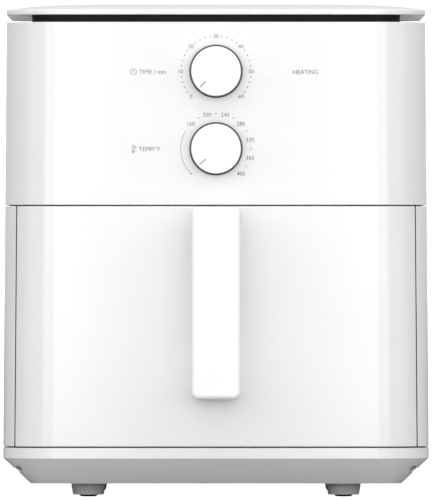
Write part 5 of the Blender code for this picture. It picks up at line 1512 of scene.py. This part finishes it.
# ==================================================================== inner pieces
class Works:
    """The pieces inside: finished copies of the frame's own, by finish."""

    housing: dict[str, tuple[Finish, float]] = {
        "front_bezel": (Finish.INNER, 0.0006), "pan_bay": (Finish.SHEET, 0.0002),
        "reflector": (Finish.SHEET, 0.0003),
        "heating_element": (Finish.ELEMENT, 0.0), "heater_guard": (Finish.SHEET, 0.0),
        "fan_motor": (Finish.ALUMINIUM, 0.0006), "motor_bracket": (Finish.SHEET, 0.0003),
        "thermal_fuse": (Finish.CERAMIC, 0.0004), "exhaust_duct": (Finish.SHEET, 0.0002),
        "timer": (Finish.INNER, 0.0004), "thermostat": (Finish.CERAMIC, 0.0004),
        "timer_bell": (Finish.ALUMINIUM, 0.0004),
        "control_bracket": (Finish.SHEET, 0.0003), "terminal_block": (Finish.CERAMIC, 0.0003),
        "drawer_switch": (Finish.VENT, 0.0003), "thermostat_bulb": (Finish.BRASS, 0.0003),
        "thermostat_capillary": (Finish.BRASS, 0.0),
    }
    rotor: dict[str, tuple[Finish, float]] = {
        "motor_shaft": (Finish.SCREW, 0.0004), "hot_air_fan": (Finish.ALUMINIUM, 0.0002),
        "cooling_fan": (Finish.ALUMINIUM, 0.0002), "fan_nut": (Finish.SCREW, 0.0004),
    }
    shafts: dict[str, Body] = {"timer_shaft": Body.TIME_DIAL, "thermostat_shaft": Body.TEMP_DIAL}

    def build(self) -> None:
        """Finishes every inner piece."""
        for body, group in ((Body.HOUSING, self.housing), (Body.ROTOR, self.rotor)):
            for node, (finish, soften) in group.items():
                dress(Bench.refined(node, soften), finish, body, node)
        for node, body in self.shafts.items():
            dress(Bench.refined(node, 0.0004), Finish.ALUMINIUM, body, node)


# ==================================================================== studio
@dataclass
class Studio:
    """The floor, the soft lights, the pale surround and the camera."""

    lens: float = 1100.0
    sensor: float = 36.0
    view_height: float = 0.33333
    aim: float = 0.1651
    surround: float = 0.70
    floor_tone: float = 0.34
    floor_glow: float = 1.0
    front_power: float = 4.0
    panel_power: float = 11.0
    box_power: float = 7.0
    strip_power: float = 0.36
    top_power: float = 9.0
    light_distance: float = 3.0
    light_width: float = 2.4
    light_height: float = 0.80
    light_rise: float = 0.90
    panel_rise: float = 0.22
    panel_width: float = 3.0
    panel_height: float = 0.5
    box_out: float = 1.40
    box_distance: float = 1.60
    box_rise: float = 0.55
    box_size: tuple[float, float] = (2.2, 1.6)
    strip_out: float = 0.122
    strip_distance: float = 1.14
    strip_rise: float = 0.165
    strip_size: tuple[float, float] = (0.06, 0.7)
    top_rise: float = 1.7
    top_distance: float = 0.35
    top_size: tuple[float, float] = (1.6, 1.2)
    middle: float = 0.17
    top_aim: float = 0.2

    def build(self) -> None:
        """Sets the stage."""
        self.floor()
        self.world()
        self.lights()
        self.camera()
        bpy.context.scene.view_settings.view_transform = "Standard"

    def floor(self) -> None:
        """A plain pale floor."""
        Bench.clear()
        bpy.ops.mesh.primitive_plane_add(size=80, location=(0, 0, 0))
        floor = bpy.context.object
        floor.name = "floor"
        material = bpy.data.materials.new("pale_floor")
        material.use_nodes = True
        nodes = Nodes(material.node_tree)
        seen = nodes.add("ShaderNodeLightPath").outputs["Is Camera Ray"]
        soft = nodes.add("ShaderNodeBsdfDiffuse", {"Color": rgba((self.floor_tone,) * 3)})
        glow = nodes.add("ShaderNodeEmission", {"Color": rgba((1, 1, 1)),
                                                "Strength": nodes.maths("MULTIPLY", seen, self.floor_glow)})
        both = nodes.add("ShaderNodeAddShader", {0: soft.outputs[0], 1: glow.outputs[0]})
        nodes.add("ShaderNodeOutputMaterial", {"Surface": both.outputs[0]})
        floor.data.materials.append(material)

    def world(self) -> None:
        """A white surround that lights softly."""
        world = bpy.data.worlds.new("surround")
        bpy.context.scene.world = world
        world.use_nodes = True
        nodes = Nodes(world.node_tree)
        seen = nodes.add("ShaderNodeLightPath").outputs["Is Camera Ray"]
        strength = nodes.maths("ADD", self.surround, nodes.maths("MULTIPLY", seen, 1.3 - self.surround))
        back = nodes.add("ShaderNodeBackground", {"Color": rgba((1, 1, 1)), "Strength": strength})
        nodes.add("ShaderNodeOutputWorld", {"Surface": back.outputs[0]})

    @staticmethod
    def area(name: str, place: tuple[float, float, float], aim: tuple[float, float, float],
             size: tuple[float, float], power: float) -> None:
        """A soft rectangular light."""
        data = bpy.data.lights.new(name, "AREA")
        data.shape = "RECTANGLE"
        data.size, data.size_y = size
        data.energy = power
        light = bpy.data.objects.new(name, data)
        light.location = place
        light.rotation_euler = (Vector(aim) - Vector(place)).to_track_quat("-Z", "Y").to_euler()
        light.visible_camera = False
        bpy.context.scene.collection.objects.link(light)

    def lights(self) -> None:
        """Lights: a wide one and a panel in front, a box and a strip at each side, one over the top."""
        aim = (0, 0, self.middle)
        self.area("front_box", (0, -self.light_distance, self.light_rise), aim,
                  (self.light_width, self.light_height), self.front_power)
        self.area("front_panel", (0, -self.light_distance, self.panel_rise), (0, 0, self.panel_rise),
                  (self.panel_width, self.panel_height), self.panel_power)
        for side in (-1, 1):
            self.area(f"soft_box_{side}", (side * self.box_out, -self.box_distance, self.box_rise), aim,
                      self.box_size, self.box_power)
            self.area(f"strip_{side}", (side * self.strip_out, -self.strip_distance, self.strip_rise),
                      (side * self.strip_out, 0, self.strip_rise), self.strip_size, self.strip_power)
        self.area("soft_box_top", (0, -self.top_distance, self.top_rise), (0, 0, self.top_aim),
                  self.top_size, self.top_power)

    def camera(self) -> None:
        """A level camera far in front."""
        data = bpy.data.cameras.new("camera")
        data.lens = self.lens
        data.sensor_width = self.sensor
        data.clip_end = 200.0
        camera = bpy.data.objects.new("camera", data)
        distance = self.view_height * self.lens / self.sensor
        camera.location = (0, CAD_BOX[0][1] + 0.046 - distance, self.aim)
        camera.rotation_euler = (math.pi / 2, 0, 0)
        bpy.context.scene.collection.objects.link(camera)
        bpy.context.scene.camera = camera


def main() -> None:
    """Builds every sub-assembly in order."""
    logging.basicConfig(level=logging.INFO, format="%(name)s: %(message)s")
    form = CasingForm()
    for maker in (Studio(), Casing(form), Panel(), Drawer(form), Crisper(), Works()):
        maker.build()
        LOG.info("built %s", type(maker).__name__)


if __name__ == "__main__":
    main()
